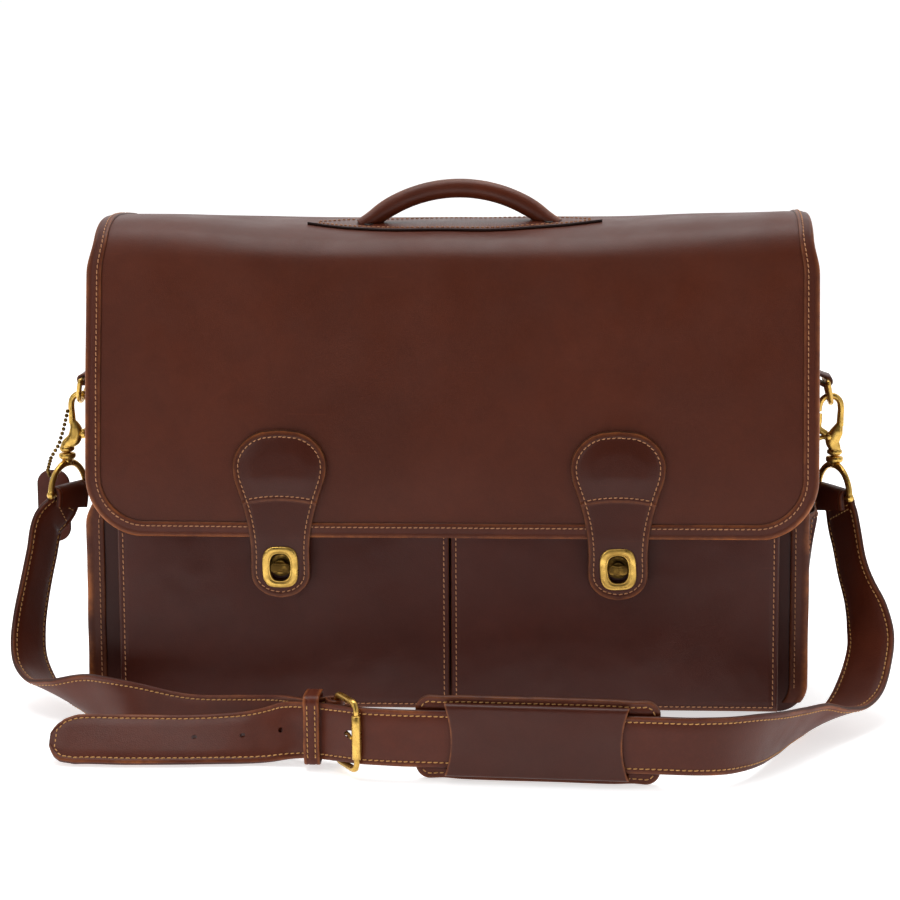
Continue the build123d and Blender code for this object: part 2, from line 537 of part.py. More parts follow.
# prong's slot through the long strap
mx, my = HEEL[0] + bd[0] * 12.5, HEEL[1] + bd[1] * 12.5
slot = cyl((mx - bd[0] * 9.5, my - bd[1] * 9.5, B_Z), (mx + bd[0] * 12, my + bd[1] * 12, B_Z), 2.6)
holes = []
strap_long = fold(strap_long, "right", long_rings[-1])
strap_long = strap_long - slot
for h in holes:
    strap_long = strap_long - h
out("strap_long", one(strap_long))

strap_short = fold(strap_short, "left", short_rings[0])
heel_sleeve = cyl((HEEL[0], HEEL[1], B_Z - 16), (HEEL[0], HEEL[1], B_Z + 16), 4.4)
strap_short = strap_short + heel_sleeve
strap_short = strap_short - cyl((HEEL[0], HEEL[1], B_Z - 22), (HEEL[0], HEEL[1], B_Z + 22), 1.9)
strap_short = strap_short - block(HEEL[0] - 6, HEEL[0] + 8, HEEL[1] - 8, HEEL[1] + 8, B_Z - 3.2, B_Z + 3.2)
out("strap_short", one(strap_short))

ang = degrees(atan2(bd[1], bd[0]))
fr = Solid.make_box(B_LEN + 3.4, 3.4, 41.4, Plane(origin=(-1.7, -1.7, -20.7)))
fr = fr.fillet(4.5, fr.edges().filter_by(Axis.Y))
inner = Solid.make_box(B_LEN - 3.4, 8, 34.6, Plane(origin=(1.7, -4, -17.3)))
fr = fr - inner
# heel bar and roller bar are round
fr = fr - Solid.make_box(3.6, 8, 34.6, Plane(origin=(-1.9, -4, -17.3))) - Solid.make_box(3.6, 8, 34.6, Plane(origin=(B_LEN - 1.7, -4, -17.3)))
fr = fr + Solid.make_cylinder(1.6, 36, Plane(origin=(0, 0, -18))) + Solid.make_cylinder(1.5, 36, Plane(origin=(B_LEN, 0, -18)))


def place(shape):
    return shape.rotate(Axis.Z, ang).moved(Location((HEEL[0], HEEL[1], B_Z)))


out("buckle_frame", one(place(one(fr))))
roller = Solid.make_cylinder(2.6, 24, Plane(origin=(B_LEN, 0, -12))) - Solid.make_cylinder(1.6, 30, Plane(origin=(B_LEN, 0, -15)))
out("buckle_roller", one(place(one(roller))))
prong = Solid.make_cylinder(3.0, 4.6, Plane(origin=(0, 0, -2.3))) - Solid.make_cylinder(1.72, 8, Plane(origin=(0, 0, -4)))
prong = prong + Solid.make_cylinder(1.25, B_LEN - 5.8, Plane(origin=(2.3, 0, 0), z_dir=(1, 0, 0)))
out("buckle_prong", one(place(one(prong))))

# keeper loop round both layers
k_out = block(-74.1, -65.1, -188.6, -167.8, B_Z - 21.2, B_Z + 18.2)
k_in = block(-85, -45, -186.8, -169.6, B_Z - 19.4, B_Z + 16.4)
out("strap_keeper", one(k_out - k_in))

# shoulder pad and its sleeve, lined up with the straight run
RUN_A = (-25, -202.0)
RUN_B = (142, -212.35)
ra = degrees(atan2(RUN_B[1] - RUN_A[1], RUN_B[0] - RUN_A[0]))
PAD_X = 56.0
PAD_Y = RUN_A[1] + (RUN_B[1] - RUN_A[1]) * (PAD_X - RUN_A[0]) / (RUN_B[0] - RUN_A[0])


def on_run(shape):
    return shape.rotate(Axis.Z, ra).moved(Location((PAD_X, PAD_Y, 23.5)))


pad = Solid.make_box(134, 4.2, 47, Plane(origin=(-67, 2.1, -23)))
pad = pad.fillet(7, pad.edges().filter_by(Axis.Y))
out("shoulder_pad", one(on_run(pad)))
sleeve = Solid.make_box(100, 6.3, 40.4, Plane(origin=(-50, -4.2, -20.2))) - Solid.make_box(120, 4.3, 34, Plane(origin=(-60, -2.2, -17)))
out("pad_sleeve", one(on_run(one(sleeve))))

# ------------------------------------------------------------------ bead chain and hang tag
path = [(-241.5, -6.2, 172.0), (-244.6, -6.4, 160.0), (-247.6, -7.0, 151.0), (-252.6, -7.4, 143.0), (-256.5, -1.0, 134.0), (-257.5, 9.0, 127.5)]
beads = []
acc, nxt = 0.0, 0.0
for (a, b) in zip(path, path[1:]):
    d = sqrt(sum((b[k] - a[k]) ** 2 for k in range(3)))
    while nxt <= acc + d:
        f = (nxt - acc) / d
        beads.append(Solid.make_sphere(1.25, Plane(origin=tuple(a[k] + (b[k] - a[k]) * f for k in range(3)))))
        nxt += 2.9
    acc += d
out("bead_chain", Compound(children=beads))
tag = block(-267.5, -246.5, 14.0, 16.2, 85.0, 131.0)
tag = tag.fillet(9.0, tag.edges().filter_by(Axis.Y))
out("hang_tag", one(tag - cyl((-257.0, 10, 125.0), (-257.0, 20, 125.0), 2.2)))

print(len(NODES), "nodes")
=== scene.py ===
import bpy
import math
import random
import numpy as np
from mathutils import Vector, Matrix, noise
from math import sin, cos, pi, radians, sqrt


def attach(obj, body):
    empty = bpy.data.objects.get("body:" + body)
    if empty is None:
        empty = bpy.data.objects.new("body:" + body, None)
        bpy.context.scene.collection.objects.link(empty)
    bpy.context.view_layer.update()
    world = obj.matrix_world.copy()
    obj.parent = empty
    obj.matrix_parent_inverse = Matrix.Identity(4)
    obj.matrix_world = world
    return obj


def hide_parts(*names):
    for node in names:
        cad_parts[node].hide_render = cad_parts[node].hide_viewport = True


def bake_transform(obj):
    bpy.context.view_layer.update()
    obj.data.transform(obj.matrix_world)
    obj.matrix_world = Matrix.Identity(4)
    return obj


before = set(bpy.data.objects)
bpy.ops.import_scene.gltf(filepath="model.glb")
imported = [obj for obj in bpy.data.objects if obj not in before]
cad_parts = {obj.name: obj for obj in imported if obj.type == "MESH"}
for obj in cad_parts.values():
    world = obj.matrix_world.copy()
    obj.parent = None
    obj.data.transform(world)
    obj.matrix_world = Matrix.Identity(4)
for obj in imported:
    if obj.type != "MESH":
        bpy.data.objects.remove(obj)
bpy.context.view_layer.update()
MM = 0.001
scn = bpy.context.scene
scn.view_settings.view_transform = "Standard"
scn.view_settings.look = "None"

# =============================================================== materials
def srgb(r, g, b):
    def f(c):
        c /= 255.0
        return c / 12.92 if c <= 0.04045 else ((c + 0.055) / 1.055) ** 2.4
    return (f(r), f(g), f(b), 1.0)


class Nodes:
    def __init__(self, name):
        self.mat = bpy.data.materials.new(name)
        self.mat.use_nodes = True
        self.nt = self.mat.node_tree
        self.nt.nodes.clear()
        self.out = self.nt.nodes.new("ShaderNodeOutputMaterial")
        self.bsdf = self.nt.nodes.new("ShaderNodeBsdfPrincipled")
        self.link(self.bsdf.outputs[0], self.out.inputs[0])
        self.co = self.nt.nodes.new("ShaderNodeTexCoord").outputs["Object"]

    def link(self, a, b):
        self.nt.links.new(a, b)

    def noise(self, scale, detail=4, rough=0.55, dist=0.0, co=None, seed=0.0):
        n = self.nt.nodes.new("ShaderNodeTexNoise")
        n.noise_dimensions = "4D"
        n.inputs["W"].default_value = seed
        n.inputs["Scale"].default_value = scale
        n.inputs["Detail"].default_value = detail
        n.inputs["Roughness"].default_value = rough
        n.inputs["Distortion"].default_value = dist
        self.link(co or self.co, n.inputs["Vector"])
        return n.outputs["Fac"]

    def voronoi(self, scale, feature="F1", co=None, out="Distance"):
        n = self.nt.nodes.new("ShaderNodeTexVoronoi")
        n.feature = feature
        n.inputs["Scale"].default_value = scale
        self.link(co or self.co, n.inputs["Vector"])
        return n.outputs[out]

    def mapping(self, scale=(1, 1, 1), rot=(0, 0, 0), co=None):
        n = self.nt.nodes.new("ShaderNodeMapping")
        n.inputs["Scale"].default_value = scale
        n.inputs["Rotation"].default_value = rot
        self.link(co or self.co, n.inputs["Vector"])
        return n.outputs[0]

    def ramp(self, fac, stops):
        n = self.nt.nodes.new("ShaderNodeValToRGB")
        cr = n.color_ramp
        while len(cr.elements) < len(stops):
            cr.elements.new(0.5)
        for e, (p, c) in zip(cr.elements, stops):
            e.position = p
            e.color = c if len(c) == 4 else (c[0], c[1], c[2], 1)
        self.link(fac, n.inputs[0])
        return n.outputs[0]

    def mix(self, fac, a, b, mode="MIX"):
        n = self.nt.nodes.new("ShaderNodeMix")
        n.data_type = "RGBA"
        n.blend_type = mode
        for v, s in ((fac, n.inputs[0]), (a, n.inputs[6]), (b, n.inputs[7])):
            if isinstance(v, (int, float, tuple)):
                s.default_value = v
            else:
                self.link(v, s)
        return n.outputs[2]

    def math(self, op, a, b=0.0, clamp=False):
        n = self.nt.nodes.new("ShaderNodeMath")
        n.operation = op
        n.use_clamp = clamp
        for v, s in ((a, n.inputs[0]), (b, n.inputs[1])):
            if isinstance(v, (int, float)):
                s.default_value = v
            else:
                self.link(v, s)
        return n.outputs[0]

    def maprange(self, v, a, b, c, d):
        n = self.nt.nodes.new("ShaderNodeMapRange")
        self.link(v, n.inputs[0])
        for i, x in enumerate((a, b, c, d)):
            n.inputs[i + 1].default_value = x
        return n.outputs[0]

    def attr(self, name):
        n = self.nt.nodes.new("ShaderNodeAttribute")
        n.attribute_name = name
        return n.outputs["Fac"]

    def bump(self, h, strength, dist, normal=None):
        n = self.nt.nodes.new("ShaderNodeBump")
        n.inputs["Strength"].default_value = strength
        n.inputs["Distance"].default_value = dist
        self.link(h, n.inputs["Height"])
        if normal is not None:
            self.link(normal, n.inputs["Normal"])
        return n.outputs[0]


def c3(c, k):
    return (min(c[0] * k, 1), min(c[1] * k, 1), min(c[2] * k, 1), 1)


def leather(name, base, worn=srgb(168, 96, 46), dark=srgb(38, 17, 12), rough=(0.34, 0.5), grain=1.0, mottle=1.0, coat=0.05, seed=1.0, spec=0.25):
    m = Nodes(name)
    base = (base[0] * 0.64, base[1] * 0.56, base[2] * 0.46, 1)
    big = m.noise(11, 3, 0.5, 0.4, seed=seed)
    mid = m.noise(60, 5, 0.62, 0.6, seed=seed + 3)
    fine = m.noise(520, 4, 0.6, seed=seed + 5)
    col = m.ramp(big, [(0.30, c3(base, 1 - 0.17 * mottle)), (0.72, c3(base, 1 + 0.16 * mottle))])
    col = m.mix(m.maprange(mid, 0.35, 0.72, 0.0, 0.42 * mottle), col, (base[0] * 0.66, base[1] * 0.60, base[2] * 0.58, 1))
    col = m.mix(m.maprange(fine, 0.45, 0.75, 0.0, 0.22), col, c3(base, 1.35))
    # pulled-up, worn and burnished edges; on the handle the same worn colour also paints a highlight along the top of
    # the roll
    w = m.attr("wear")
    wn = m.math("MULTIPLY", w, m.maprange(m.noise(140, 5, 0.65, seed=seed + 8), 0.32, 0.62, 0.25, 1.35), True)
    col = m.mix(wn, col, worn)
    d = m.attr("dark")
    col = m.mix(m.math("MULTIPLY", d, 1.0, True), col, dark)
    # light scratches
    sc = m.noise(1, 2, 0.5, 0.2, co=m.mapping((26, 26, 480), (0.2, 0.35, 0.1)), seed=seed + 11)
    scm = m.maprange(sc, 0.71, 0.77, 0.0, 0.35)
    col = m.mix(scm, col, c3(base, 1.7))
    m.link(col, m.bsdf.inputs["Base Color"])
    r = m.maprange(m.noise(34, 5, 0.6, 0.3, seed=seed + 13), 0.3, 0.7, rough[0], rough[1])
    r = m.math("ADD", r, m.math("MULTIPLY", fine, 0.06))
    m.link(r, m.bsdf.inputs["Roughness"])
    # grain: small cells with pores between
    warp = m.nt.nodes.new("ShaderNodeVectorMath")
    warp.operation = "ADD"
    nz = m.nt.nodes.new("ShaderNodeTexNoise")
    nz.inputs["Scale"].default_value = 420
    m.link(m.co, nz.inputs["Vector"])
    sc2 = m.nt.nodes.new("ShaderNodeVectorMath")
    sc2.operation = "SCALE"
    sc2.inputs["Scale"].default_value = 0.0012
    m.link(nz.outputs["Color"], sc2.inputs[0])
    m.link(m.co, warp.inputs[0])
    m.link(sc2.outputs[0], warp.inputs[1])
    cell = m.voronoi(900, "DISTANCE_TO_EDGE", co=warp.outputs[0])
    cell = m.maprange(cell, 0.0, 0.22, 0.0, 1.0)
    g2 = m.noise(1900, 3, 0.6, seed=seed + 17)
    soft = m.noise(130, 5, 0.6, seed=seed + 19)
    h = m.math("ADD", m.math("MULTIPLY", cell, 0.5), m.math("MULTIPLY", g2, 0.35))
    h = m.math("ADD", h, m.math("MULTIPLY", soft, 1.1))
    n1 = m.bump(h, 0.30 * grain, 0.00022)
    cr = m.voronoi(95, "DISTANCE_TO_EDGE", co=m.mapping((1, 1, 1.7)))
    crm = m.maprange(cr, 0.0, 0.05, 0.0, 1.0)
    n2 = m.bump(crm, 0.045 * grain, 0.00025, n1)
    m.link(n2, m.bsdf.inputs["Normal"])
    b = m.bsdf.inputs
    b["Specular IOR Level"].default_value = spec
    b["Coat Weight"].default_value = coat
    b["Coat Roughness"].default_value = 0.28
    b["Sheen Weight"].default_value = 0.0
    return m.mat


def thread(name, col):
    m = Nodes(name)
    f = m.noise(700, 3, 0.6)
    w = m.nt.nodes.new("ShaderNodeTexWave")
    w.inputs["Scale"].default_value = 900
    w.inputs["Distortion"].default_value = 1.0
    m.link(m.mapping((1, 1, 1), (0.6, 0.5, 0.7)), w.inputs["Vector"])
    m.link(m.mix(f, c3(col, 0.72), c3(col, 1.25)), m.bsdf.inputs["Base Color"])
    m.link(m.bump(w.outputs["Fac"], 0.35, 0.0001), m.bsdf.inputs["Normal"])
    m.link(m.maprange(f, 0.3, 0.7, 0.55, 0.75), m.bsdf.inputs["Roughness"])
    m.bsdf.inputs["Sheen Weight"].default_value = 0.15
    return m.mat


def brass(name, bright, darkc, amount, rough=(0.16, 0.42)):
    m = Nodes(name)
    a = m.noise(150, 6, 0.65, 0.5)
    b2 = m.noise(900, 4, 0.6)
    s = m.noise(1, 3, 0.6, co=m.mapping((300, 300, 3000), (0.3, 0.2, 0.0)))
    f = m.maprange(a, 0.42 - 0.18 * amount, 0.80 - 0.30 * amount, 0.0, 0.25 + 0.7 * amount)
    d = m.attr("dark")
    f = m.math("MAXIMUM", f, d, True)
    col = m.mix(f, bright, darkc)
    col = m.mix(m.maprange(b2, 0.5, 0.8, 0, 0.3), col, c3(darkc, 0.8))
    m.link(col, m.bsdf.inputs["Base Color"])
    m.bsdf.inputs["Metallic"].default_value = 1.0
    r = m.maprange(a, 0.3, 0.7, rough[0], rough[1])
    m.link(m.math("ADD", r, m.math("MULTIPLY", f, 0.16)), m.bsdf.inputs["Roughness"])
    h = m.math("ADD", m.math("MULTIPLY", b2, 0.6), m.math("MULTIPLY", s, 0.6))
    m.link(m.bump(h, 0.12, 0.00012), m.bsdf.inputs["Normal"])
    return m.mat


def fabric(name, col):
    m = Nodes(name)
    w1 = m.nt.nodes.new("ShaderNodeTexWave"); w1.bands_direction = "X"
    w2 = m.nt.nodes.new("ShaderNodeTexWave"); w2.bands_direction = "Z"
    for w in (w1, w2):
        w.inputs["Scale"].default_value = 520
        w.inputs["Distortion"].default_value = 0.6
        m.link(m.co, w.inputs["Vector"])
    h = m.math("ADD", w1.outputs["Fac"], w2.outputs["Fac"])
    n = m.noise(300, 4)
    m.link(m.mix(n, c3(col, 0.7), c3(col, 1.3)), m.bsdf.inputs["Base Color"])
    m.link(m.bump(h, 0.5, 0.0002), m.bsdf.inputs["Normal"])
    m.link(m.maprange(n, 0.3, 0.7, 0.75, 0.92), m.bsdf.inputs["Roughness"])
    m.bsdf.inputs["Sheen Weight"].default_value = 0.2
    return m.mat


CHEST = srgb(104, 49, 30)
M_FLAP = leather("leather_flap", CHEST, seed=1.0)
M_BIND = leather("leather_binding", srgb(100, 46, 28), seed=5.0, mottle=1.3)
# pocket leather is set darker than the flap: partly its own tone, partly painted shade standing in for the flap's
# shadow over the pockets
M_POCK = leather("leather_pocket", srgb(86, 37, 26), seed=9.0)
# body leather is set darker still: partly its own tone, partly painted shade for the front panel and gussets in the
# shadow of the pockets and flap
M_BODY = leather("leather_body", srgb(80, 34, 24), seed=13.0)
M_TAB = leather("leather_tab", srgb(88, 39, 25), seed=17.0, rough=(0.3, 0.44))
M_STRAP = leather("leather_strap", srgb(110, 50, 30), seed=21.0, mottle=1.35, rough=(0.36, 0.52))
M_HAND = leather("leather_handle", srgb(104, 48, 28), seed=25.0, rough=(0.3, 0.42))
M_LINE = leather("leather_lining", srgb(62, 30, 22), seed=29.0, rough=(0.62, 0.8), coat=0.0, grain=0.7)
M_EDGE = leather("leather_edge", srgb(34, 16, 12), seed=33.0, grain=0.5)
T_BODY = thread("thread_tan", srgb(186, 128, 84))
T_STRAP = thread("thread_gold", srgb(206, 150, 82))
BR = brass("brass", srgb(226, 184, 96), srgb(120, 84, 36), 0.30)
BR_AGED = brass("brass_aged", srgb(176, 138, 66), srgb(70, 50, 24), 0.85, (0.28, 0.5))
ZIP = fabric("zip_cloth", srgb(56, 32, 24))
COIL = brass("zip_metal", srgb(190, 150, 84), srgb(100, 74, 36), 0.5)

# =============================================================== mesh helpers
def mk(name, verts, faces, mat, body=None, blend=None, rep=(), attrs=None, sharp=42, smooth=True, sub=0):
    me = bpy.data.meshes.new(name)
    me.from_pydata([tuple(float(c) * MM for c in v) for v in verts], [], [tuple(int(i) for i in f) for f in faces])
    me.validate()
    me.materials.append(mat)
    for k, vals in (attrs or {}).items():
        a = me.attributes.new(k, "FLOAT", "POINT")
        a.data.foreach_set("value", np.asarray(vals, np.float32))
    me.polygons.foreach_set("use_smooth", [smooth] * len(me.polygons))
    me.update()
    fix_normals(me)
    if sharp:
        me.set_sharp_from_angle(angle=radians(sharp))
    ob = bpy.data.objects.new(name, me)
    scn.collection.objects.link(ob)
    done(ob, body, blend, rep)
    return ob


def fix_normals(me):
    import bmesh
    bm = bmesh.new()
    bm.from_mesh(me)
    bmesh.ops.recalc_face_normals(bm, faces=bm.faces)
    bm.to_mesh(me)
    bm.free()


def done(ob, body, blend=None, rep=()):
    if rep:
        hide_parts(*rep)
    if blend:
        a, b, s, e = blend
        tuple(c * MM for c in s)
        tuple(c * MM for c in e)
        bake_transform(ob)
    elif body:
        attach(ob, body)


def unit(v):
    v = np.asarray(v, float)
    n = np.linalg.norm(v, axis=-1, keepdims=True)
    return v / np.maximum(n, 1e-12)


def herm(t, P, ts):
    t = np.asarray(t, float)
    P = np.asarray(P, float)
    if P.ndim == 1:
        P = P[:, None]
    ts = np.asarray(ts, float)
    h = np.diff(t)
    s = np.diff(P, axis=0) / h[:, None]
    m = np.zeros_like(P)
    m[1:-1] = (s[:-1] * h[1:, None] + s[1:] * h[:-1, None]) / (h[:-1] + h[1:])[:, None]
    m[0] = 1.5 * s[0] - 0.5 * m[1] if len(t) > 2 else s[0]
    m[-1] = 1.5 * s[-1] - 0.5 * m[-2] if len(t) > 2 else s[-1]
    k = np.clip(np.searchsorted(t, ts, side="right") - 1, 0, len(t) - 2)
    u = ((ts - t[k]) / h[k])[:, None]
    hk = h[k][:, None]
    return ((2 * u ** 3 - 3 * u ** 2 + 1) * P[k] + (u ** 3 - 2 * u ** 2 + u) * hk * m[k]
            + (-2 * u ** 3 + 3 * u ** 2) * P[k + 1] + (u ** 3 - u ** 2) * hk * m[k + 1])


def chord(P):
    P = np.asarray(P, float)
    return np.r_[0, np.cumsum(np.linalg.norm(np.diff(P, axis=0), axis=1))]


def curve(pts, step):
    """A smooth line through the points, sampled evenly."""
    P = np.asarray(pts, float)
    t = chord(P)
    fine = herm(t, P, np.linspace(0, t[-1], max(40, int(t[-1] / step) * 6)))
    d = chord(fine)
    n = max(2, int(round(d[-1] / step)) + 1)
    q = np.linspace(0, d[-1], n)
    return np.stack([np.interp(q, d, fine[:, k]) for k in range(fine.shape[1])], 1)


def resample(P, step=None, n=None):
    P = np.asarray(P, float)
    d = chord(P)
    n = n or max(2, int(round(d[-1] / step)) + 1)
    q = np.linspace(0, d[-1], n)
    return np.stack([np.interp(q, d, P[:, k]) for k in range(P.shape[1])], 1)


def fbm(p, scale, seed=0.0, octv=3):
    return noise.fractal(Vector((p[0] / scale + seed, p[1] / scale - seed, p[2] / scale + 2 * seed)), 0.7, 2.0, octv)


def noise_grid(P, scale, seed, octv=3):
    f = P.reshape(-1, 3)
    return np.array([fbm(q, scale, seed, octv) for q in f]).reshape(P.shape[:-1])


def normals(P, flip=False):
    N = np.cross(np.gradient(P, axis=1), np.gradient(P, axis=0))
    N = unit(N)
    return -N if flip else N


def smooth01(x):
    x = np.clip(x, 0, 1)
    return x * x * (3 - 2 * x)


RIM = ((0.10, 0.35), (0.32, 0.04), (0.5, 0.0), (0.68, 0.04), (0.90, 0.35))


def slab(top, bot, e=0.8, attrs=None, edge_attr=None, edge_val=1.0):
    """A closed sheet between two grids, with a rounded rim. Returns verts, faces, attrs."""
    nv, nu, _ = top.shape
    rows = [0] * nu + list(range(1, nv)) + [nv - 1] * (nu - 1) + list(range(nv - 2, 0, -1))
    cols = list(range(nu)) + [nu - 1] * (nv - 1) + list(range(nu - 2, -1, -1)) + [0] * (nv - 2)
    out = np.zeros_like(top)
    out[0, :] += unit(top[0] - top[1])
    out[-1, :] += unit(top[-1] - top[-2])
    out[:, 0] += unit(top[:, 0] - top[:, 1])
    out[:, -1] += unit(top[:, -1] - top[:, -2])
    out = np.where(np.linalg.norm(out, axis=2, keepdims=True) > 1e-9, unit(out), 0)
    tb, bb = top[rows, cols].copy(), bot[rows, cols].copy()
    O = out[rows, cols]
    T, B = top.copy(), bot.copy()
    T[rows, cols] = tb - O * e
    B[rows, cols] = bb - O * e
    nb = len(rows)
    verts = [T.reshape(-1, 3), B.reshape(-1, 3)]
    g = nv * nu
    for f, i in RIM:
        verts.append(tb * (1 - f) + bb * f - O * e * i)
    V = np.vstack(verts)
    faces = []
    for r in range(nv - 1):
        for c in range(nu - 1):
            a = r * nu + c
            faces.append((a, a + 1, a + nu + 1, a + nu))
            faces.append((g + a, g + a + nu, g + a + nu + 1, g + a + 1))
    rings = [[r * nu + c for r, c in zip(rows, cols)]]
    for k in range(len(RIM)):
        rings.append([2 * g + k * nb + i for i in range(nb)])
    rings.append([g + r * nu + c for r, c in zip(rows, cols)])
    for R0, R1 in zip(rings, rings[1:]):
        for i in range(nb):
            j = (i + 1) % nb
            faces.append((R0[i], R1[i], R1[j], R0[j]))
    A = {}
    for k, v in (attrs or {}).items():
        base = np.concatenate([v.reshape(-1), v.reshape(-1) * 0.4])
        rim = np.concatenate([v[rows, cols]] * len(RIM))
        A[k] = np.concatenate([base, rim])
    if edge_attr:
        v = np.zeros(len(V))
        v[2 * g:] = edge_val
        for i in rings[0] + rings[-1]:
            v[i] = edge_val * 0.45
        A[edge_attr] = np.maximum(A.get(edge_attr, 0), v)
    return V, faces, A


def sweep(frames, prof, caps=True, closed=False, attrs=None):
    """prof: (a, b) pairs, one ring for each frame (P, A, B); prof may be a function of the frame's index."""
    V, F, at = [], [], {k: [] for k in (attrs or {})}
    n = len(frames)
    m = None
    for i, (P, A, B) in enumerate(frames):
        pr = prof(i) if callable(prof) else prof
        m = len(pr)
        for a, b in pr:
            V.append(P + A * a + B * b)
        for k, fn in (attrs or {}).items():
            at[k] += [fn(i, j, pr[j]) for j in range(m)]
    for i in range(n if closed else n - 1):
        a0, b0 = i * m, ((i + 1) % n) * m
        for k in range(m):
            j = (k + 1) % m
            F.append((a0 + k, b0 + k, b0 + j, a0 + j))
    if caps and not closed:
        for base in (0, (n - 1) * m):
            c = len(V)
            V.append(np.mean(V[base:base + m], axis=0))
            for k in at:
                at[k].append(at[k][base])
            for q in range(m):
                F.append((base + q, base + (q + 1) % m, c))
    return np.array(V), F, {k: np.array(v) for k, v in at.items()}


def frames_of(P, up):
    """Frames along a line: A across (towards up made square), B the other way."""
    P = np.asarray(P, float)
    T = unit(np.gradient(P, axis=0))
    U = np.asarray(up, float)
    U = np.tile(U, (len(P), 1)) if U.ndim == 1 else U
    A = unit(U - (U * T).sum(1, keepdims=True) * T)
    B = np.cross(T, A)
    return [(P[i], A[i], B[i]) for i in range(len(P))]


def ring(n, r=1.0, sq=1.0):
    return [(r * cos(2 * pi * k / n), r * sq * sin(2 * pi * k / n)) for k in range(n)]


def tube(pts, r, step=1.0, up=(0, 0, 1), n=14, smoothit=True, sq=1.0):
    P = curve(pts, step) if smoothit else np.asarray(pts, float)
    R = np.asarray(r, float) if np.ndim(r) else None
    if R is not None:
        R = np.interp(np.linspace(0, 1, len(P)), np.linspace(0, 1, len(R)), R)
    fr = frames_of(P, up)
    return sweep(fr, lambda i: ring(n, R[i] if R is not None else r, sq))[:2]


def lathe(o, axis, prof, n=28, up=(0, 0, 1)):
    """prof: (distance along the axis, radius)."""
    ax = unit(np.array(axis, float))
    u = np.array(up, float)
    if abs(np.dot(u, ax)) > 0.9:
        u = np.array((1.0, 0, 0))
    A = unit(u - np.dot(u, ax) * ax)
    B = np.cross(ax, A)
    o = np.array(o, float)
    V, F = [], []
    for d, r in prof:
        for k in range(n):
            t = 2 * pi * k / n
            V.append(o + ax * d + (A * cos(t) + B * sin(t)) * max(r, 0.01))
    for i in range(len(prof) - 1):
        for k in range(n):
            j = (k + 1) % n
            F.append((i * n + k, (i + 1) * n + k, (i + 1) * n + j, i * n + j))
    F.append(tuple(range(n)))
    F.append(tuple((len(prof) - 1) * n + k for k in range(n)))
    return np.array(V), F


def join(parts):
    V, F, o = [], [], 0
    for v, f in parts:
        V.append(np.asarray(v, float))
        F += [tuple(i + o for i in q) for q in f]
        o += len(v)
    return np.vstack(V), F


def cut(ob, V, F):
    """Cut a closed shape out of a mesh object."""
    me = bpy.data.meshes.new("cutter")
    me.from_pydata([tuple(float(c) * MM for c in v) for v in V], [], [tuple(f) for f in F])
    fix_normals(me)
    c = bpy.data.objects.new("cutter", me)
    scn.collection.objects.link(c)
    md = ob.modifiers.new("cut", "BOOLEAN")
    md.operation = "DIFFERENCE"
    md.solver = "EXACT"
    md.object = c
    dg = bpy.context.evaluated_depsgraph_get()
    new = bpy.data.meshes.new_from_object(ob.evaluated_get(dg))
    ob.modifiers.clear()
    if len(new.polygons) > 10:
        old = ob.data
        ob.data = new
        new.set_sharp_from_angle(angle=radians(42))
    bpy.data.objects.remove(c)
    return ob


rng = random.Random(11)


def stitches(name, P, N, mat, body=None, blend=None, pitch=3.3, length=2.5, r=0.36, lift=0.1, slant=0.10):
    """A row of thread stitches along a line P on a surface with normals N."""
    P = np.asarray(P, float)
    N = np.asarray(N, float)
    if N.ndim == 1:
        N = np.tile(N, (len(P), 1))
    d = chord(P)
    cnt = max(1, int(d[-1] / pitch))
    off = (d[-1] - cnt * pitch) / 2 + pitch / 2
    V, F = [], []
    us = (-1.0, -0.82, -0.4, 0.4, 0.82, 1.0)
    rr = (0.35, 0.82, 1.0, 1.0, 0.82, 0.35)
    zz = (-1.1, -0.35, 0.1, 0.1, -0.35, -1.1)
    m = 7
    for k in range(cnt):
        s = off + k * pitch
        c = np.array([np.interp(s, d, P[:, q]) for q in range(3)])
        a = np.array([np.interp(min(s + 0.8, d[-1]), d, P[:, q]) for q in range(3)])
        b = np.array([np.interp(max(s - 0.8, 0), d, P[:, q]) for q in range(3)])
        n = unit(np.array([np.interp(s, d, N[:, q]) for q in range(3)]))
        t = unit(a - b)
        t = unit(t - np.dot(t, n) * n)
        w = np.cross(n, t)
        sl = slant + rng.uniform(-0.05, 0.05)
        t2 = t * cos(sl) + w * sin(sl)
        w2 = np.cross(n, t2)
        L = length / 2 * (1 + rng.uniform(-0.06, 0.06))
        base = len(V)
        for u, q, z in zip(us, rr, zz):
            for j in range(m):
                th = 2 * pi * j / m
                V.append(c + t2 * u * L + w2 * cos(th) * r * q + n * (sin(th) * r * q + z * r + lift))
        for i in range(len(us) - 1):
            for j in range(m):
                jj = (j + 1) % m
                F.append((base + i * m + j, base + i * m + jj, base + (i + 1) * m + jj, base + (i + 1) * m + j))
        F.append(tuple(base + j for j in range(m)))
        F.append(tuple(base + (len(us) - 1) * m + j for j in range(m)))
    return mk(name, V, F, mat, body, blend, sharp=0)

# =============================================================== flap
TOP_END = [(65.0, 256), (65.0, 268), (64.2, 279.5), (60.5, 285.6), (52, 288.6), (38, 290.8), (20, 292.6), (0, 293.9),
           (-18, 293.8), (-32, 291.4), (-44, 285.6), (-51.6, 275.5), (-55.6, 260), (-60.7, 235), (-69.5, 190), (-76.8, 146), (-80.3, 109)]
TOP_MID = [(65.0, 256), (65.0, 268), (64.2, 279.3), (60.0, 284.8), (51, 286.9), (38, 288.2), (20, 288.6), (2, 288.2),
           (-13, 287.2), (-27, 285.2), (-40, 281.2), (-49.8, 273.2), (-55.0, 259.4), (-60.7, 235), (-69.5, 190), (-76.8, 146), (-80.3, 109)]
NSMP = 900
_tt = np.linspace(0, 1, NSMP)


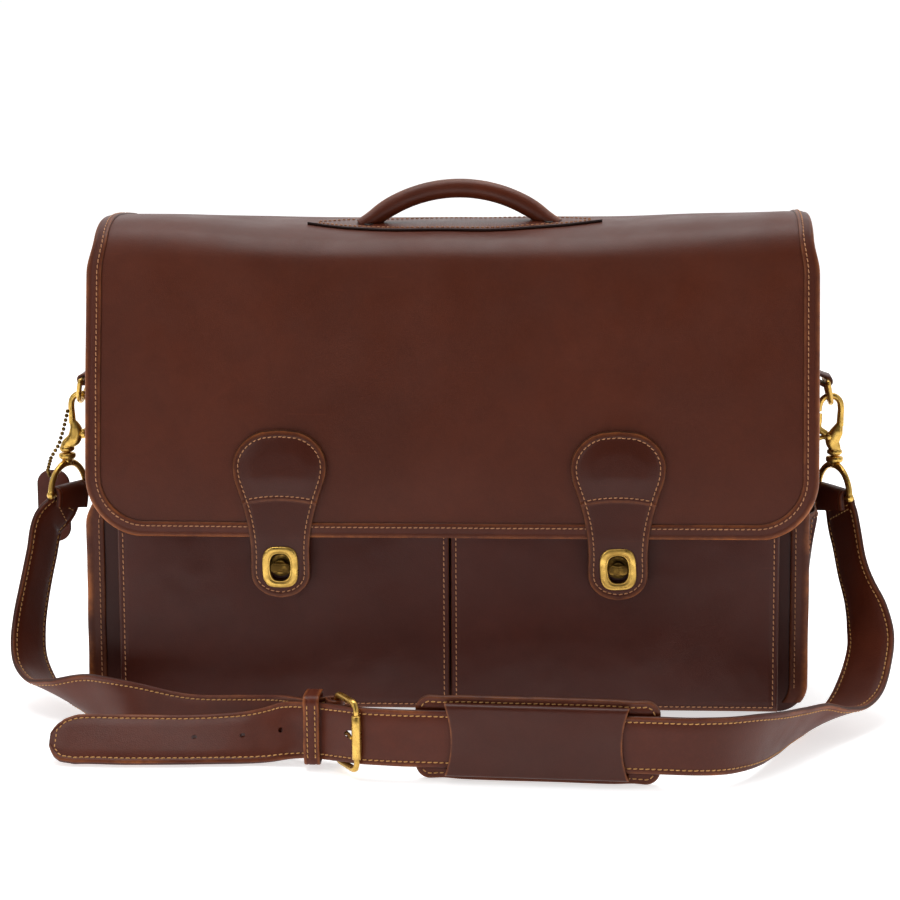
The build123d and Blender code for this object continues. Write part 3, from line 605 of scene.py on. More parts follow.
def _prof(pts):
    c = chord(pts)
    c = c / c[-1]
    f = herm(c, pts, _tt)
    d = chord(f)
    q = np.linspace(0, d[-1], NSMP)
    return np.stack([np.interp(q, d, f[:, 0]), np.interp(q, d, f[:, 1])], 1), d[-1]


P_END, L_END = _prof(TOP_END)
P_MID, L_MID = _prof(TOP_MID)
FL = 0.5 * (L_END + L_MID)
HW = 216.0


def flap_base(x, s):
    t = np.clip(s / FL, -0.02, 1.02)
    w = smooth01((np.abs(x) - 62) / 140.0)
    y = np.interp(t, _tt, P_MID[:, 0]) * (1 - w) + np.interp(t, _tt, P_END[:, 0]) * w
    z = np.interp(t, _tt, P_MID[:, 1]) * (1 - w) + np.interp(t, _tt, P_END[:, 1]) * w
    # the far ends of the fold droop a little
    top = smooth01((z - 262) / 24.0)
    dr = np.clip((np.abs(x) - 202) / 14.0, 0, 1) ** 2
    z = z - top * dr * 2.2
    xx = x - np.sign(x) * top * np.clip((np.abs(x) - 150) / 66.0, 0, 1) * 3.2
    return np.stack([xx, y, z], -1)


def flap_wave(x, s):
    x, s = np.broadcast_arrays(np.asarray(x, float), np.asarray(s, float))
    f = np.array([noise.fractal(Vector((a / 105.0, b / 80.0, 3.7)), 0.8, 2.0, 2) for a, b in zip(x.ravel(), s.ravel())]).reshape(x.shape)
    g = np.array([noise.noise(Vector((a / 38.0, b / 130.0, 9.1))) for a, b in zip(x.ravel(), s.ravel())]).reshape(x.shape)
    m = smooth01((s - 30) / 40.0)
    return (f * 1.0 + g * 0.35) * m


def flap(x, s, off=0.0):
    x, s = np.broadcast_arrays(np.asarray(x, float), np.asarray(s, float))
    P = flap_base(x, s)
    e = 1.2
    du = flap_base(x + 0.5, s) - flap_base(x - 0.5, s)
    dv = flap_base(x, s + e) - flap_base(x, s - e)
    N = unit(np.cross(dv, du))
    return P + N * (flap_wave(x, s) + off)[..., None], N


def s_at(y=None, z=None):
    """Arc length on the middle profile where the top has this y, or the front this height."""
    if y is not None:
        k = (P_MID[:, 1] > 280)
        return float(np.interp(-y, -P_MID[k, 0], _tt[k])) * FL
    k = (P_MID[:, 0] < -45)
    return float(np.interp(-z, -P_MID[k, 1], _tt[k])) * FL


S_SPLIT = s_at(y=22.0)
S_FOLD = s_at(y=-42.0) + 4
R_C = 35.5
TH = 2.4
_, _n = flap(np.array([0.0]), np.array([FL - 60]))
if _n[0][1] > 0:
    raise SystemExit("flap normal faces inwards")


def halfw(s, inset=0.0):
    """Half width of the flap at s, with its two rounded lower corners."""
    r, w = R_C - inset, HW - inset
    d = (FL - inset) - s
    return np.where(d < r, w - r + np.sqrt(np.maximum(r * r - (r - np.clip(d, 0, r)) ** 2, 0)), w)


def flap_sheet(name, rows, body, blend, rep, mat, extra=None):
    nu = 131
    u = np.linspace(-1, 1, nu)
    rows = np.asarray(rows)
    hw = halfw(rows, 1.0)
    X = u[None, :] * hw[:, None]
    S = np.repeat(rows[:, None], nu, 1)
    top, N = flap(X, S, 0.0)
    bot = top - N * TH
    V, F, A = slab(top, bot, 0.7, edge_attr="dark", edge_val=0.7)
    return mk(name, V, F, mat, body, blend, rep, attrs=A, sharp=50)


BL_REAR = ("bag", "flap_top", (0, 65.0, 276.5), (0, 50, 289))
BL_FOLD = ("flap_top", "flap_front", (0, -30, 291), (0, -55, 262))
rear_rows = np.linspace(0, S_SPLIT, 34)
th = np.linspace(0, pi / 2, 22)
bottom_rows = FL - 1.0 - (R_C - 1.0) * (1 - np.sin(th))[::1]
front_rows = np.concatenate([np.linspace(S_SPLIT, FL - R_C - 0.01, 92)[:-1], bottom_rows])
front_rows = np.unique(np.round(front_rows, 4))
flap_sheet("flap_leather_rear", rear_rows, None, BL_REAR, ("flap_top_panel",), M_FLAP)
flap_sheet("flap_leather_front", front_rows, None, BL_FOLD, ("flap_front_panel",), M_FLAP)


def outline_path(inset, s0=None, step=1.6):
    """The flap's edge from the left end of the fold, round both lower corners and back up the right side, as (x, s)."""
    s0 = S_SPLIT if s0 is None else s0
    r = R_C - inset
    w = HW - inset
    b = FL - inset
    pts = [(-w, s) for s in np.arange(s0, b - r, step)]
    na = max(12, int(r * pi / 2 / step))
    pts += [(-w + r - r * cos(t), b - r + r * sin(t)) for t in np.linspace(0, pi / 2, na)]
    pts += [(x, b) for x in np.linspace(-w + r, w - r, int(2 * (w - r) / step))[1:-1]]
    pts += [(w - r + r * sin(t), b - r + r * cos(t)) for t in np.linspace(0, pi / 2, na)]
    pts += [(w, s) for s in np.arange(s0, b - r, step)[::-1]]
    return np.array(pts)


def binding_sweep(name, path, body, blend, rep):
    """A folded strip round the flap's edge: path in (x, s), with its inner side worked out from the direction."""
    d = unit(np.gradient(path, axis=0))
    inn = np.stack([d[:, 1], -d[:, 0]], 1)
    mid = np.array([0.0, FL / 2])
    if np.mean(((mid - path) * inn).sum(1)) < 0:
        inn = -inn
    BW = 9.0
    prof = [(BW, 0.05), (BW - 0.05, 0.75), (BW - 0.55, 1.12), (BW - 2.0, 1.16), (3.6, 1.10), (2.75, 0.86), (1.9, 1.14), (0.9, 1.05), (0.15, 0.55),
            (-0.35, -0.45), (-0.5, -1.25), (-0.35, -2.05), (0.15, -3.0), (0.9, -3.5), (BW - 1.0, -3.55), (BW - 0.2, -3.3), (BW, -2.5),
            (6.0, -2.45), (1.2, -2.45), (1.0, -1.2), (1.2, 0.03), (6.0, 0.03)]
    wear = [0.12, 0.3, 0.35, 0.05, 0.0, 0.0, 0.12, 0.35, 0.75, 1.0, 0.95, 0.8, 0.4, 0.1, 0, 0, 0, 0, 0, 0, 0, 0]
    V, at = [], []
    m = len(prof)
    pa = np.array(prof)
    X = path[:, 0][:, None] + inn[:, 0][:, None] * pa[:, 0][None, :]
    S = path[:, 1][:, None] + inn[:, 1][:, None] * pa[:, 0][None, :]
    P, N = flap(X, S, np.broadcast_to(pa[:, 1][None, :], X.shape))
    V = P.reshape(-1, 3)
    n = len(path)
    wv = np.array(wear)[None, :] * (0.35 + 0.65 * np.array([0.5 + 0.9 * noise.noise(Vector((p[0] / 30, p[1] / 30, 2.0))) for p in path]))[:, None]
    # the two lower corners and the rim are the most rubbed
    cw = np.exp(-((np.abs(path[:, 0]) - 205) / 14.0) ** 2 - ((path[:, 1] - (FL - 12)) / 18.0) ** 2)
    wv = np.clip(wv + np.array(wear)[None, :] * cw[:, None] * 0.6, 0, 1)
    F = []
    for i in range(n - 1):
        for k in range(m):
            j = (k + 1) % m
            F.append((i * m + k, (i + 1) * m + k, (i + 1) * m + j, i * m + j))
    F.append(tuple(range(m)))
    F.append(tuple((n - 1) * m + k for k in range(m)))
    dark = np.zeros((n, m))
    dark[:, 0] = 0.8
    dark[:, 1] = 0.25
    return mk(name, V, F, M_BIND, body, blend, rep, attrs={"wear": wv.ravel(), "dark": dark.ravel()}, sharp=60)


edge = outline_path(0.0)
binding_sweep("flap_binding_front_strip", edge, None, BL_FOLD, ("flap_front_binding",))
ls = np.arange(0, S_SPLIT + 0.01, 1.6)
ls[-1] = S_SPLIT
binding_sweep("flap_binding_rear_left", np.array([(-HW, s) for s in ls]), None, BL_REAR, ("flap_top_bindings",))
binding_sweep("flap_binding_rear_right", np.array([(HW, s) for s in ls]), None, BL_REAR, ())
q = outline_path(6.3, step=1.2)
P, N = flap(q[:, 0], q[:, 1], np.full(len(q), 1.18))
stitches("flap_stitching_front", P, N, T_BODY, None, BL_FOLD, pitch=3.25, length=2.45, r=0.34)
for sd, sx in (("left", -1), ("right", 1)):
    ss = np.arange(4, S_SPLIT, 1.2)
    P, N = flap(np.full(len(ss), sx * (HW - 6.3)), ss, np.full(len(ss), 1.18))
    stitches(f"flap_stitching_rear_{sd}", P, N, T_BODY, None, BL_REAR, pitch=3.25, length=2.45, r=0.34)
for k, s0 in enumerate((5.0, 9.5)):
    xs = np.linspace(-205, 205, 200)
    P, N = flap(xs, np.full(200, s0), np.full(200, 0.05))
    stitches(f"flap_seam_back_{k}", P, N, T_BODY, "bag", None, pitch=3.25, length=2.45, r=0.34)

# =============================================================== handle patch
px = np.array([-90, -70, -40, 0, 40, 70, 90.0])
p_front = np.array([-8, -18, -25.5, -27.5, -25.5, -18, -8.0])
p_back = np.array([-8, 3, 10, 13, 10, 3, -8.0])


def patch_edges(x):
    a = herm(px, p_front, np.atleast_1d(x))[:, 0]
    b = herm(px, p_back, np.atleast_1d(x))[:, 0]
    return a, b


S_TAB = np.array([s_at(y=y) for y in np.linspace(-38, 30, 120)])
Y_TAB = np.linspace(-38, 30, 120)


def patch_grid(off, inset=0.0, nx=120, nu=27):
    th = np.linspace(-pi / 2, pi / 2, nx)
    xs = (89.4 - inset * 2.2) * np.sin(th)
    a, b = patch_edges(xs)
    c, h = (a + b) / 2, np.maximum((b - a) / 2 - inset, 0.25)
    u = np.linspace(-1, 1, nu)
    Y = c[:, None] + u[None, :] * h[:, None]
    X = np.repeat(xs[:, None], nu, 1)
    S = np.interp(Y, Y_TAB, S_TAB)
    return X, S


X, S = patch_grid(0)
top, N = flap(X, S, np.full(X.shape, 1.75))
dx = np.minimum(np.abs(X - X[0, 0]), np.abs(X - X[-1, 0]))
bot, _ = flap(X, S, np.full(X.shape, 0.1))
V, F, A = slab(top, bot, 0.35, edge_attr="dark", edge_val=1.0)
mk("handle_patch_leather", V, F, M_HAND, "flap_top", None, ("handle_patch",), attrs=A, sharp=50)
Xi, Si = patch_grid(0, 2.6, 200, 3)
for k, j in enumerate((0, 2)):
    P, N = flap(Xi[:, j], Si[:, j], np.full(len(Xi), 1.85))
    P2 = resample(P, 0.8)
    N2 = unit(resample(np.hstack([P, N]), 0.8)[:, 3:])[:len(P2)]
    stitches(f"patch_stitching_{k}", P2[:len(N2)], N2, T_BODY, "flap_top", None, pitch=3.0, length=2.2, r=0.32)

# =============================================================== handle
H_RAD, H_UP = 83.0, 16.0
HA = radians(80)
HX0 = 2.8


def hplace(p):
    p = np.asarray(p, float)
    return np.stack([HX0 + p[..., 0], -7 + p[..., 2] * cos(HA) - p[..., 1] * sin(HA), 293.4 + p[..., 2] * sin(HA) + p[..., 1] * cos(HA)], -1)


zc = H_UP - H_RAD
tmax = math.acos((-2.6 - zc) / H_RAD)
pts = [(H_RAD * sin(t), zc + H_RAD * cos(t)) for t in np.linspace(-tmax, tmax, 15)]
pts = [(-59.5, -7.2)] + pts + [(59.5, -7.2)]
P2 = curve(pts, 1.1)
n = len(P2)
d = chord(P2)
T = unit(np.gradient(P2, axis=0))
V, F = [], []
m = 28
foot = lambda q: smooth01((q - 2) / 21.0)
wr = []
for i in range(n):
    q = min(d[i], d[-1] - d[i])
    f = foot(q)
    a, b = 5.0 * (1 - f) + 5.75 * f, 7.0 * (1 - f) + 5.6 * f
    na = np.array([-T[i][1], T[i][0]])
    for k in range(m):
        th_ = 2 * pi * k / m
        ca, sa = cos(th_), sin(th_)
        ex = 2.0
        V.append((P2[i][0] + na[0] * a * ca, b * sa, P2[i][1] + na[1] * a * ca))
        # a pressed seam along the inner side of the roll: the worn colour on both crests of the grip is wear, and the
        # broad band along the top of the roll is a painted highlight
        wr.append(0.25 * max(0, ca) ** 3 + 0.5 * (1 - f) * abs(ca) ** 8)
for i in range(n - 1):
    for k in range(m):
        j = (k + 1) % m
        F.append((i * m + k, (i + 1) * m + k, (i + 1) * m + j, i * m + j))
F.append(tuple(range(m)))
F.append(tuple((n - 1) * m + k for k in range(m)))
V = hplace(np.array(V)[:, [0, 1, 2]])
BL_H = ("flap_top", "handle", (0, -7.0, 290.0), (0, -6.2, 297.5))
# the handle's wear attribute carries wear on the grip and a painted highlight along the top of the roll
mk("handle_roll", V, F, M_HAND, None, BL_H, ("handle_grip", "handle_ends"), attrs={"wear": wr}, sharp=0)
# stitched seam along the underside of the roll
seam = []
sn = []
for i in range(n):
    q = min(d[i], d[-1] - d[i])
    if q < 9:
        continue
    f = foot(q)
    a, b = 5.0 * (1 - f) + 5.75 * f, 7.0 * (1 - f) + 5.6 * f
    na = np.array([-T[i][1], T[i][0]])
    th_ = radians(-38) if True else 0
    seam.append((P2[i][0] - na[0] * a * cos(th_), b * sin(th_), P2[i][1] - na[1] * a * cos(th_)))
    sn.append((-na[0] * cos(th_), sin(th_), -na[1] * cos(th_)))
sp = hplace(np.array(seam))
sn = np.array(sn)
snw = np.stack([sn[:, 0], sn[:, 2] * cos(HA) - sn[:, 1] * sin(HA), sn[:, 2] * sin(HA) + sn[:, 1] * cos(HA)], 1)
stitches("handle_seam", sp, snw, T_BODY, None, BL_H, pitch=3.1, length=2.3, r=0.32)
# the slits in the patch that the feet go down through: a raised, dark lip
for sd, sx in (("left", -1), ("right", 1)):
    lip = np.array([(HX0 + sx * 54.5 + 3.4 * cos(a), -7 + 9.2 * sin(a)) for a in np.linspace(0, 2 * pi, 41)[:-1]])
    P, N = flap(lip[:, 0], np.interp(lip[:, 1], Y_TAB, S_TAB), np.full(40, 1.8))
    T_ = unit(np.roll(P, -1, 0) - np.roll(P, 1, 0))
    fr = [(P[i], unit(np.cross(T_[i], N[i])), N[i]) for i in range(40)]
    V, F, _ = sweep(fr, ring(8, 0.7), closed=True)
    mk(f"handle_foot_lip_{sd}", V, F, M_EDGE, "flap_top", None, ())

# =============================================================== closing tabs
TABH = np.array([(172.5, 0.0), (171.9, 8.0), (170.6, 13.5), (168, 18.6), (165, 22.2), (161, 25.2), (155, 27.5), (149, 27.7), (143, 26.6), (138, 24.9), (132, 22.9), (126, 21.2),
                 (115, 18.7), (106, 17.7), (98, 17.4), (90, 17.6), (84, 17.0), (80, 15.0), (77.4, 12.4), (75.2, 9.0), (73.8, 5.0), (73.0, 0.0)])


def tab_half(z):
    h = herm(172.5 - TABH[:, 0] + np.arange(len(TABH)) * 1e-6, TABH[:, 1], 172.5 - np.atleast_1d(z))[:, 0]
    return np.maximum(h, 0)


def front_y_at(x, z):
    """Point on the flap's outer face at this height."""
    s = s_at(z=z)
    P, N = flap(np.array([x]), np.array([s]))
    return P[0]


ZT = np.linspace(60, 180, 121)
ST = np.array([s_at(z=max(z, 109.2)) for z in ZT])
tabs = {}


def tab_pt(x0, ux, z, off):
    """ux: sideways from the tab's middle; z: height; off: how far in front of the flap's face."""
    ux, z, off = np.broadcast_arrays(np.asarray(ux, float), np.asarray(z, float), np.asarray(off, float))
    s = np.interp(z, ZT, ST)
    P, N = flap(x0 + ux, s)
    # in front of the flap's bottom edge, and straight below it
    k = smooth01((118 - z) / 18.0)
    y = P[..., 1] * (1 - k) + (-80.45) * k
    base = np.stack([x0 + ux, y, z], -1)
    Nn = unit(np.stack([np.zeros_like(y), -np.ones_like(y), -0.13 * (1 - k)], -1))
    return base + Nn * off[..., None], Nn


def outline_dist(ux, z, poly):
    Pp = np.stack([ux.ravel(), z.ravel()], 1)
    a, b = poly, np.roll(poly, -1, 0)
    d = np.full(len(Pp), 1e9)
    for p, q_ in zip(a, b):
        v = q_ - p
        L2 = max((v * v).sum(), 1e-9)
        t = np.clip(((Pp - p) @ v) / L2, 0, 1)
        d = np.minimum(d, np.linalg.norm(Pp - (p + t[:, None] * v), axis=1))
    return d.reshape(ux.shape)


zz_ = np.concatenate([172.5 - 12 * (1 - np.cos(np.linspace(0.06, pi / 2, 26))), np.linspace(160, 86, 96)[1:], 73 + 13 * (1 - np.sin(np.linspace(0, pi / 2 - 0.06, 26)))[1:]])
TILT = {"left": 0.0, "right": radians(1.6)}
for sd, x0 in (("left", -99.7), ("right", 99.7)):
    h = np.maximum(tab_half(zz_), 0.6)
    u = np.sin(np.linspace(-pi / 2, pi / 2, 61)) * 0.35 + np.linspace(-1, 1, 61) * 0.65
    UX = u[None, :] * h[:, None]
    Z = np.repeat(zz_[:, None], len(u), 1)
    poly = np.array([(hh, z) for z, hh in zip(zz_, h)] + [(-hh, z) for z, hh in zip(zz_[::-1], h[::-1])])
    D = outline_dist(UX, Z, poly[::3])
    arc = 132.3 - 2.4 * (UX / 21.0) ** 2
    upper = smooth01((Z - arc + 0.6) / 1.3)
    dome = 1.9 * smooth01(D / 13.0)
    groove = -0.45 * np.exp(-((D - 3.3) / 0.75) ** 2)
    arcg = -0.35 * np.exp(-((Z - arc - 2.2) / 0.8) ** 2) * upper
    off = 2.75 + upper * (0.95 + dome * smooth01((Z - arc) / 16.0)) + (1 - upper) * 0.25 * smooth01(D / 6.0) + groove + arcg
    top, N = tab_pt(x0, UX, Z, off)
    low = 1.25 - 1.0 * smooth01((Z - 120) / 8.0)
    low = np.where(Z < 106, 0.0, low)
    bot, _ = tab_pt(x0, UX, Z, low)
    rr_ = TILT[sd]
    wear = 0.55 * np.exp(-D / 0.9) + 0.25 * np.exp(-((Z - arc) / 0.8) ** 2) * (D > 1)
    V, F, A = slab(top, bot, 0.6, attrs={"wear": wear}, edge_attr="dark", edge_val=0.75)
    ob = mk(f"tab_{sd}_padded", V, F, M_TAB, None, None, (), attrs=A, sharp=55)
    # oval slot for the lock
    Vc, Fc = [], []
    for yy in (-95.0, -70.0):
        for k in range(40):
            t = 2 * pi * k / 40
            Vc.append((x0 + 6.2 * np.sign(cos(t)) * abs(cos(t)) ** 0.8, yy, 91.6 + 8.2 * np.sign(sin(t)) * abs(sin(t)) ** 0.8))
    for k in range(40):
        j = (k + 1) % 40
        Fc.append((k, j, 40 + j, 40 + k))
    Fc += [tuple(range(40)), tuple(range(40, 80))]
    cut(ob, Vc, Fc)
    done(ob, "flap_front", None, (f"tab_{sd}",))
    # edge stitching, 3.3 in from the edge
    c = np.array([(hh, z) for z, hh in zip(zz_, h)] + [(-hh, z) for z, hh in zip(zz_[::-1], h[::-1])])
    c = resample(np.vstack([c, c[:1]]), 0.8)
    tdir = unit(np.roll(c, -1, 0) - np.roll(c, 1, 0))
    nin = np.stack([tdir[:, 1], -tdir[:, 0]], 1)
    if ((np.array([0, 125.0]) - c) * nin).sum() < 0:
        nin = -nin
    ci = c + nin * 3.3
    keep = outline_dist(ci[:, 0], ci[:, 1], poly[::2]) > 3.1
    ci = ci[keep]
    st = np.argmin(np.abs(ci[:, 1] - ci[:, 1].min()) + np.abs(ci[:, 0]) * 0.01)
    ci = np.roll(ci, -st, axis=0)
    arcc = 132.3 - 2.4 * (ci[:, 0] / 21.0) ** 2
    up_ = smooth01((ci[:, 1] - arcc + 0.6) / 1.3)
    of = 2.75 + up_ * (0.95 + 1.9 * smooth01(3.3 / 13.0) * smooth01((ci[:, 1] - arcc) / 16.0)) + (1 - up_) * 0.12 - 0.35
    P, N = tab_pt(x0, ci[:, 0], ci[:, 1], of)
    stitches(f"tab_{sd}_stitching", P, N, T_BODY, "flap_front", None, pitch=3.1, length=2.35, r=0.34, lift=0.12)
    ux = np.linspace(-19.4, 19.4, 60)
    az = 132.3 - 2.4 * (ux / 21.0) ** 2 + 2.2
    P, N = tab_pt(x0, ux, az, np.full(60, 2.75 + 0.95 - 0.2))
    stitches(f"tab_{sd}_cross_stitching", P, N, T_BODY, "flap_front", None, pitch=3.1, length=2.3, r=0.34)

# =============================================================== turn locks
def se(t, a, b, e):
    return (a * np.sign(cos(t)) * abs(cos(t)) ** (2 / e), b * np.sign(sin(t)) * abs(sin(t)) ** (2 / e))


for sd, x0 in (("left", -99.7), ("right", 99.7)):
    n = 88
    rot = {"left": 0.0, "right": radians(2.5)}[sd]
    prof = [(0.0, 0.0), (0.02, 0.75), (0.10, 1.25), (0.24, 1.5), (0.50, 1.62), (0.70, 1.5), (0.80, 1.18), (0.86, 1.3), (0.93, 1.35), (0.985, 1.05), (1.0, 0.2), (1.0, -0.9), (0.6, -0.5), (0.1, -0.1)]
    V, F, at = [], [], []
    for i in range(n):
        t = 2 * pi * i / n
        ox, oz = se(t, 10.7, 12.4, 3.3)
        ix, iz = se(t, 6.0, 8.1, 2.7)
        for f, hgt in prof:
            x, z = ox * (1 - f) + ix * f, oz * (1 - f) + iz * f
            x, z = x * cos(rot) - z * sin(rot), x * sin(rot) + z * cos(rot)
            V.append((x0 + x, -83.45 - hgt, 91.6 + z))
            at.append(0.85 if f > 0.78 and hgt < 1.25 else 0.0)
    m = len(prof)
    for i in range(n):
        j = (i + 1) % n
        for k in range(m):
            l = (k + 1) % m
            F.append((i * m + k, j * m + k, j * m + l, i * m + l))
    mk(f"lock_plate_{sd}_brass", V, F, BR, "flap_front", None, (f"lock_plate_{sd}",), attrs={"dark": at}, sharp=70)
    # knob: a rounded bar with a waist, on a round neck
    V, F = [], []
    nu_, nv_ = 48, 15
    for r_ in range(nv_):
        ph = -pi / 2 + pi * r_ / (nv_ - 1)
        cp = max(cos(ph), 0.0) ** 0.55
        yy = -86.15 - 1.8 * np.sign(sin(ph)) * abs(sin(ph)) ** 0.8
        for k in range(nu_):
            t = 2 * pi * k / nu_
            a, b = se(t, 5.5, 3.1, 3.2)
            b = b * (1 - 0.20 * math.exp(-(a / 1.8) ** 2))
            V.append((x0 + a * max(cp, 0.02), yy, 91.6 + b * max(cp, 0.02)))
    for r_ in range(nv_ - 1):
        for k in range(nu_):
            j = (k + 1) % nu_
            F.append((r_ * nu_ + k, (r_ + 1) * nu_ + k, (r_ + 1) * nu_ + j, r_ * nu_ + j))
    F += [tuple(range(nu_)), tuple((nv_ - 1) * nu_ + k for k in range(nu_))]
    nv2, nf2 = lathe((x0, -84.6, 91.6), (0, 1, 0), [(0, 1.6), (0.5, 1.62), (6.5, 1.62), (7.4, 1.2)], 20)
    V, F = join([(np.array(V), F), (nv2, nf2)])
    mk(f"lock_knob_{sd}_brass", V, F, BR_AGED, f"knob_{sd}", None, (f"lock_knob_{sd}",), sharp=55)


# =============================================================== body of the bag
def front_y(z):
    return -61.5 + 13.5 * np.asarray(z, float) / 262.0


def pocket_y(z):
    return -81.0 + 5.2 * (np.asarray(z, float) - 5) / 115.0


def gridslab(name, P, t, body, rep, mat, flip=False, e=0.7, wob=0.0, scale=60.0, seed=1.0, wear=0.0, dark=0.6, thick=None, extra=None, mask=None):
    """A leather panel from a grid of points on its outer face; t is its thickness, inwards."""
    N = normals(P, flip)
    if wob:
        wv = noise_grid(P, scale, seed) * wob
        if mask is not None:
            wv = wv * mask
        P = P + N * wv[..., None]
    nv, nu, _ = P.shape
    bot = P - N * (t if thick is None else thick[..., None])
    at = {}
    if wear:
        i = np.minimum(np.arange(nv), np.arange(nv)[::-1])[:, None]
        j = np.minimum(np.arange(nu), np.arange(nu)[::-1])[None, :]
        at["wear"] = np.where(np.minimum(i, j) <= 0, wear, np.where(np.minimum(i, j) <= 1, wear * 0.3, 0.0)) * np.ones((nv, nu))
    if extra is not None:
        at["dark"] = extra
    V, F, A = slab(P, bot, e, attrs=at, edge_attr="dark", edge_val=dark)
    ob = mk(name, V, F, mat, body, None, rep, attrs=A, sharp=50)
    return ob, P, N


def XZ(xs, zs):
    return np.meshgrid(np.asarray(xs, float), np.asarray(zs, float))


def rounded_rows(z0, z1, r, w, nz, nx, top_r=0.0):
    """Rows of a panel with two rounded lower corners."""
    th = np.linspace(0.05, pi / 2, 12)
    zs = np.concatenate([z0 + r * (1 - np.sin(th[::-1])), np.linspace(z0 + r, z1, nz)[1:]])
    hw = np.where(zs < z0 + r, w - r + np.sqrt(np.maximum(r * r - (r - (zs - z0)) ** 2, 0)), w)
    u = np.linspace(-1, 1, nx)
    return u[None, :] * hw[:, None], np.repeat(zs[:, None], nx, 1)


# front panel, behind the pockets
X, Z = rounded_rows(0.3, 262, 17, 216.3, 70, 90)
X = X - 4.2
X = np.where(X < 0, X * (1 - 0.052 * smooth01((Z - 112) / 30.0)), X * (1 - 0.012 * smooth01((Z - 112) / 30.0)))
Y = front_y(Z) + 0 * X
P = np.stack([X, Y, Z], -1)
gridslab("front_panel_leather", P, 3.3, "bag", ("front_panel",), M_BODY, flip=False, wob=0.5, scale=70, seed=3.0, wear=0.0)
# back panel
X, Z = rounded_rows(0.3, 281, 16, 212, 80, 90)
Yb = 62.0 + 1.6 * np.sin(pi * np.clip(Z / 281, 0, 1)) ** 0.8 * (1 - (X / 214) ** 4)
gridslab("back_panel_leather", np.stack([X, Yb, Z], -1), 3.4, "bag", ("back_panel",), M_BODY, flip=True, wob=0.8, scale=90, seed=5.0)
# bottom, worn at its edges
X, Yg = np.meshgrid(np.linspace(-196, 196, 90), np.linspace(-58.4, 58.6, 36))
Zb = 0.45 + 0 * X
gridslab("bottom_leather", np.stack([X, Yg, Zb], -1), 2.8, "bag", ("bottom_panel",), M_BODY, flip=True, e=0.6, wear=0.4)
# divider
X, Z = XZ(np.linspace(-206.2, 206.2, 80), np.linspace(16.6, 271.8, 60))
Yd = 7.1 + 0.4 * np.sin(X / 60) * np.sin(pi * Z / 272)
gridslab("divider_leather", np.stack([X, Yd, Z], -1), 2.0, "bag", ("divider_panel",), M_LINE, flip=False, wob=0.25, scale=60)
xs = np.linspace(-203, 203, 260)
stitches("divider_stitching", np.stack([xs, 0 * xs + 7.0 + 0.4 * np.sin(xs / 60) * 0.05, 0 * xs + 268.3], 1), (0, -1, 0), T_BODY, "bag", None, r=0.32)

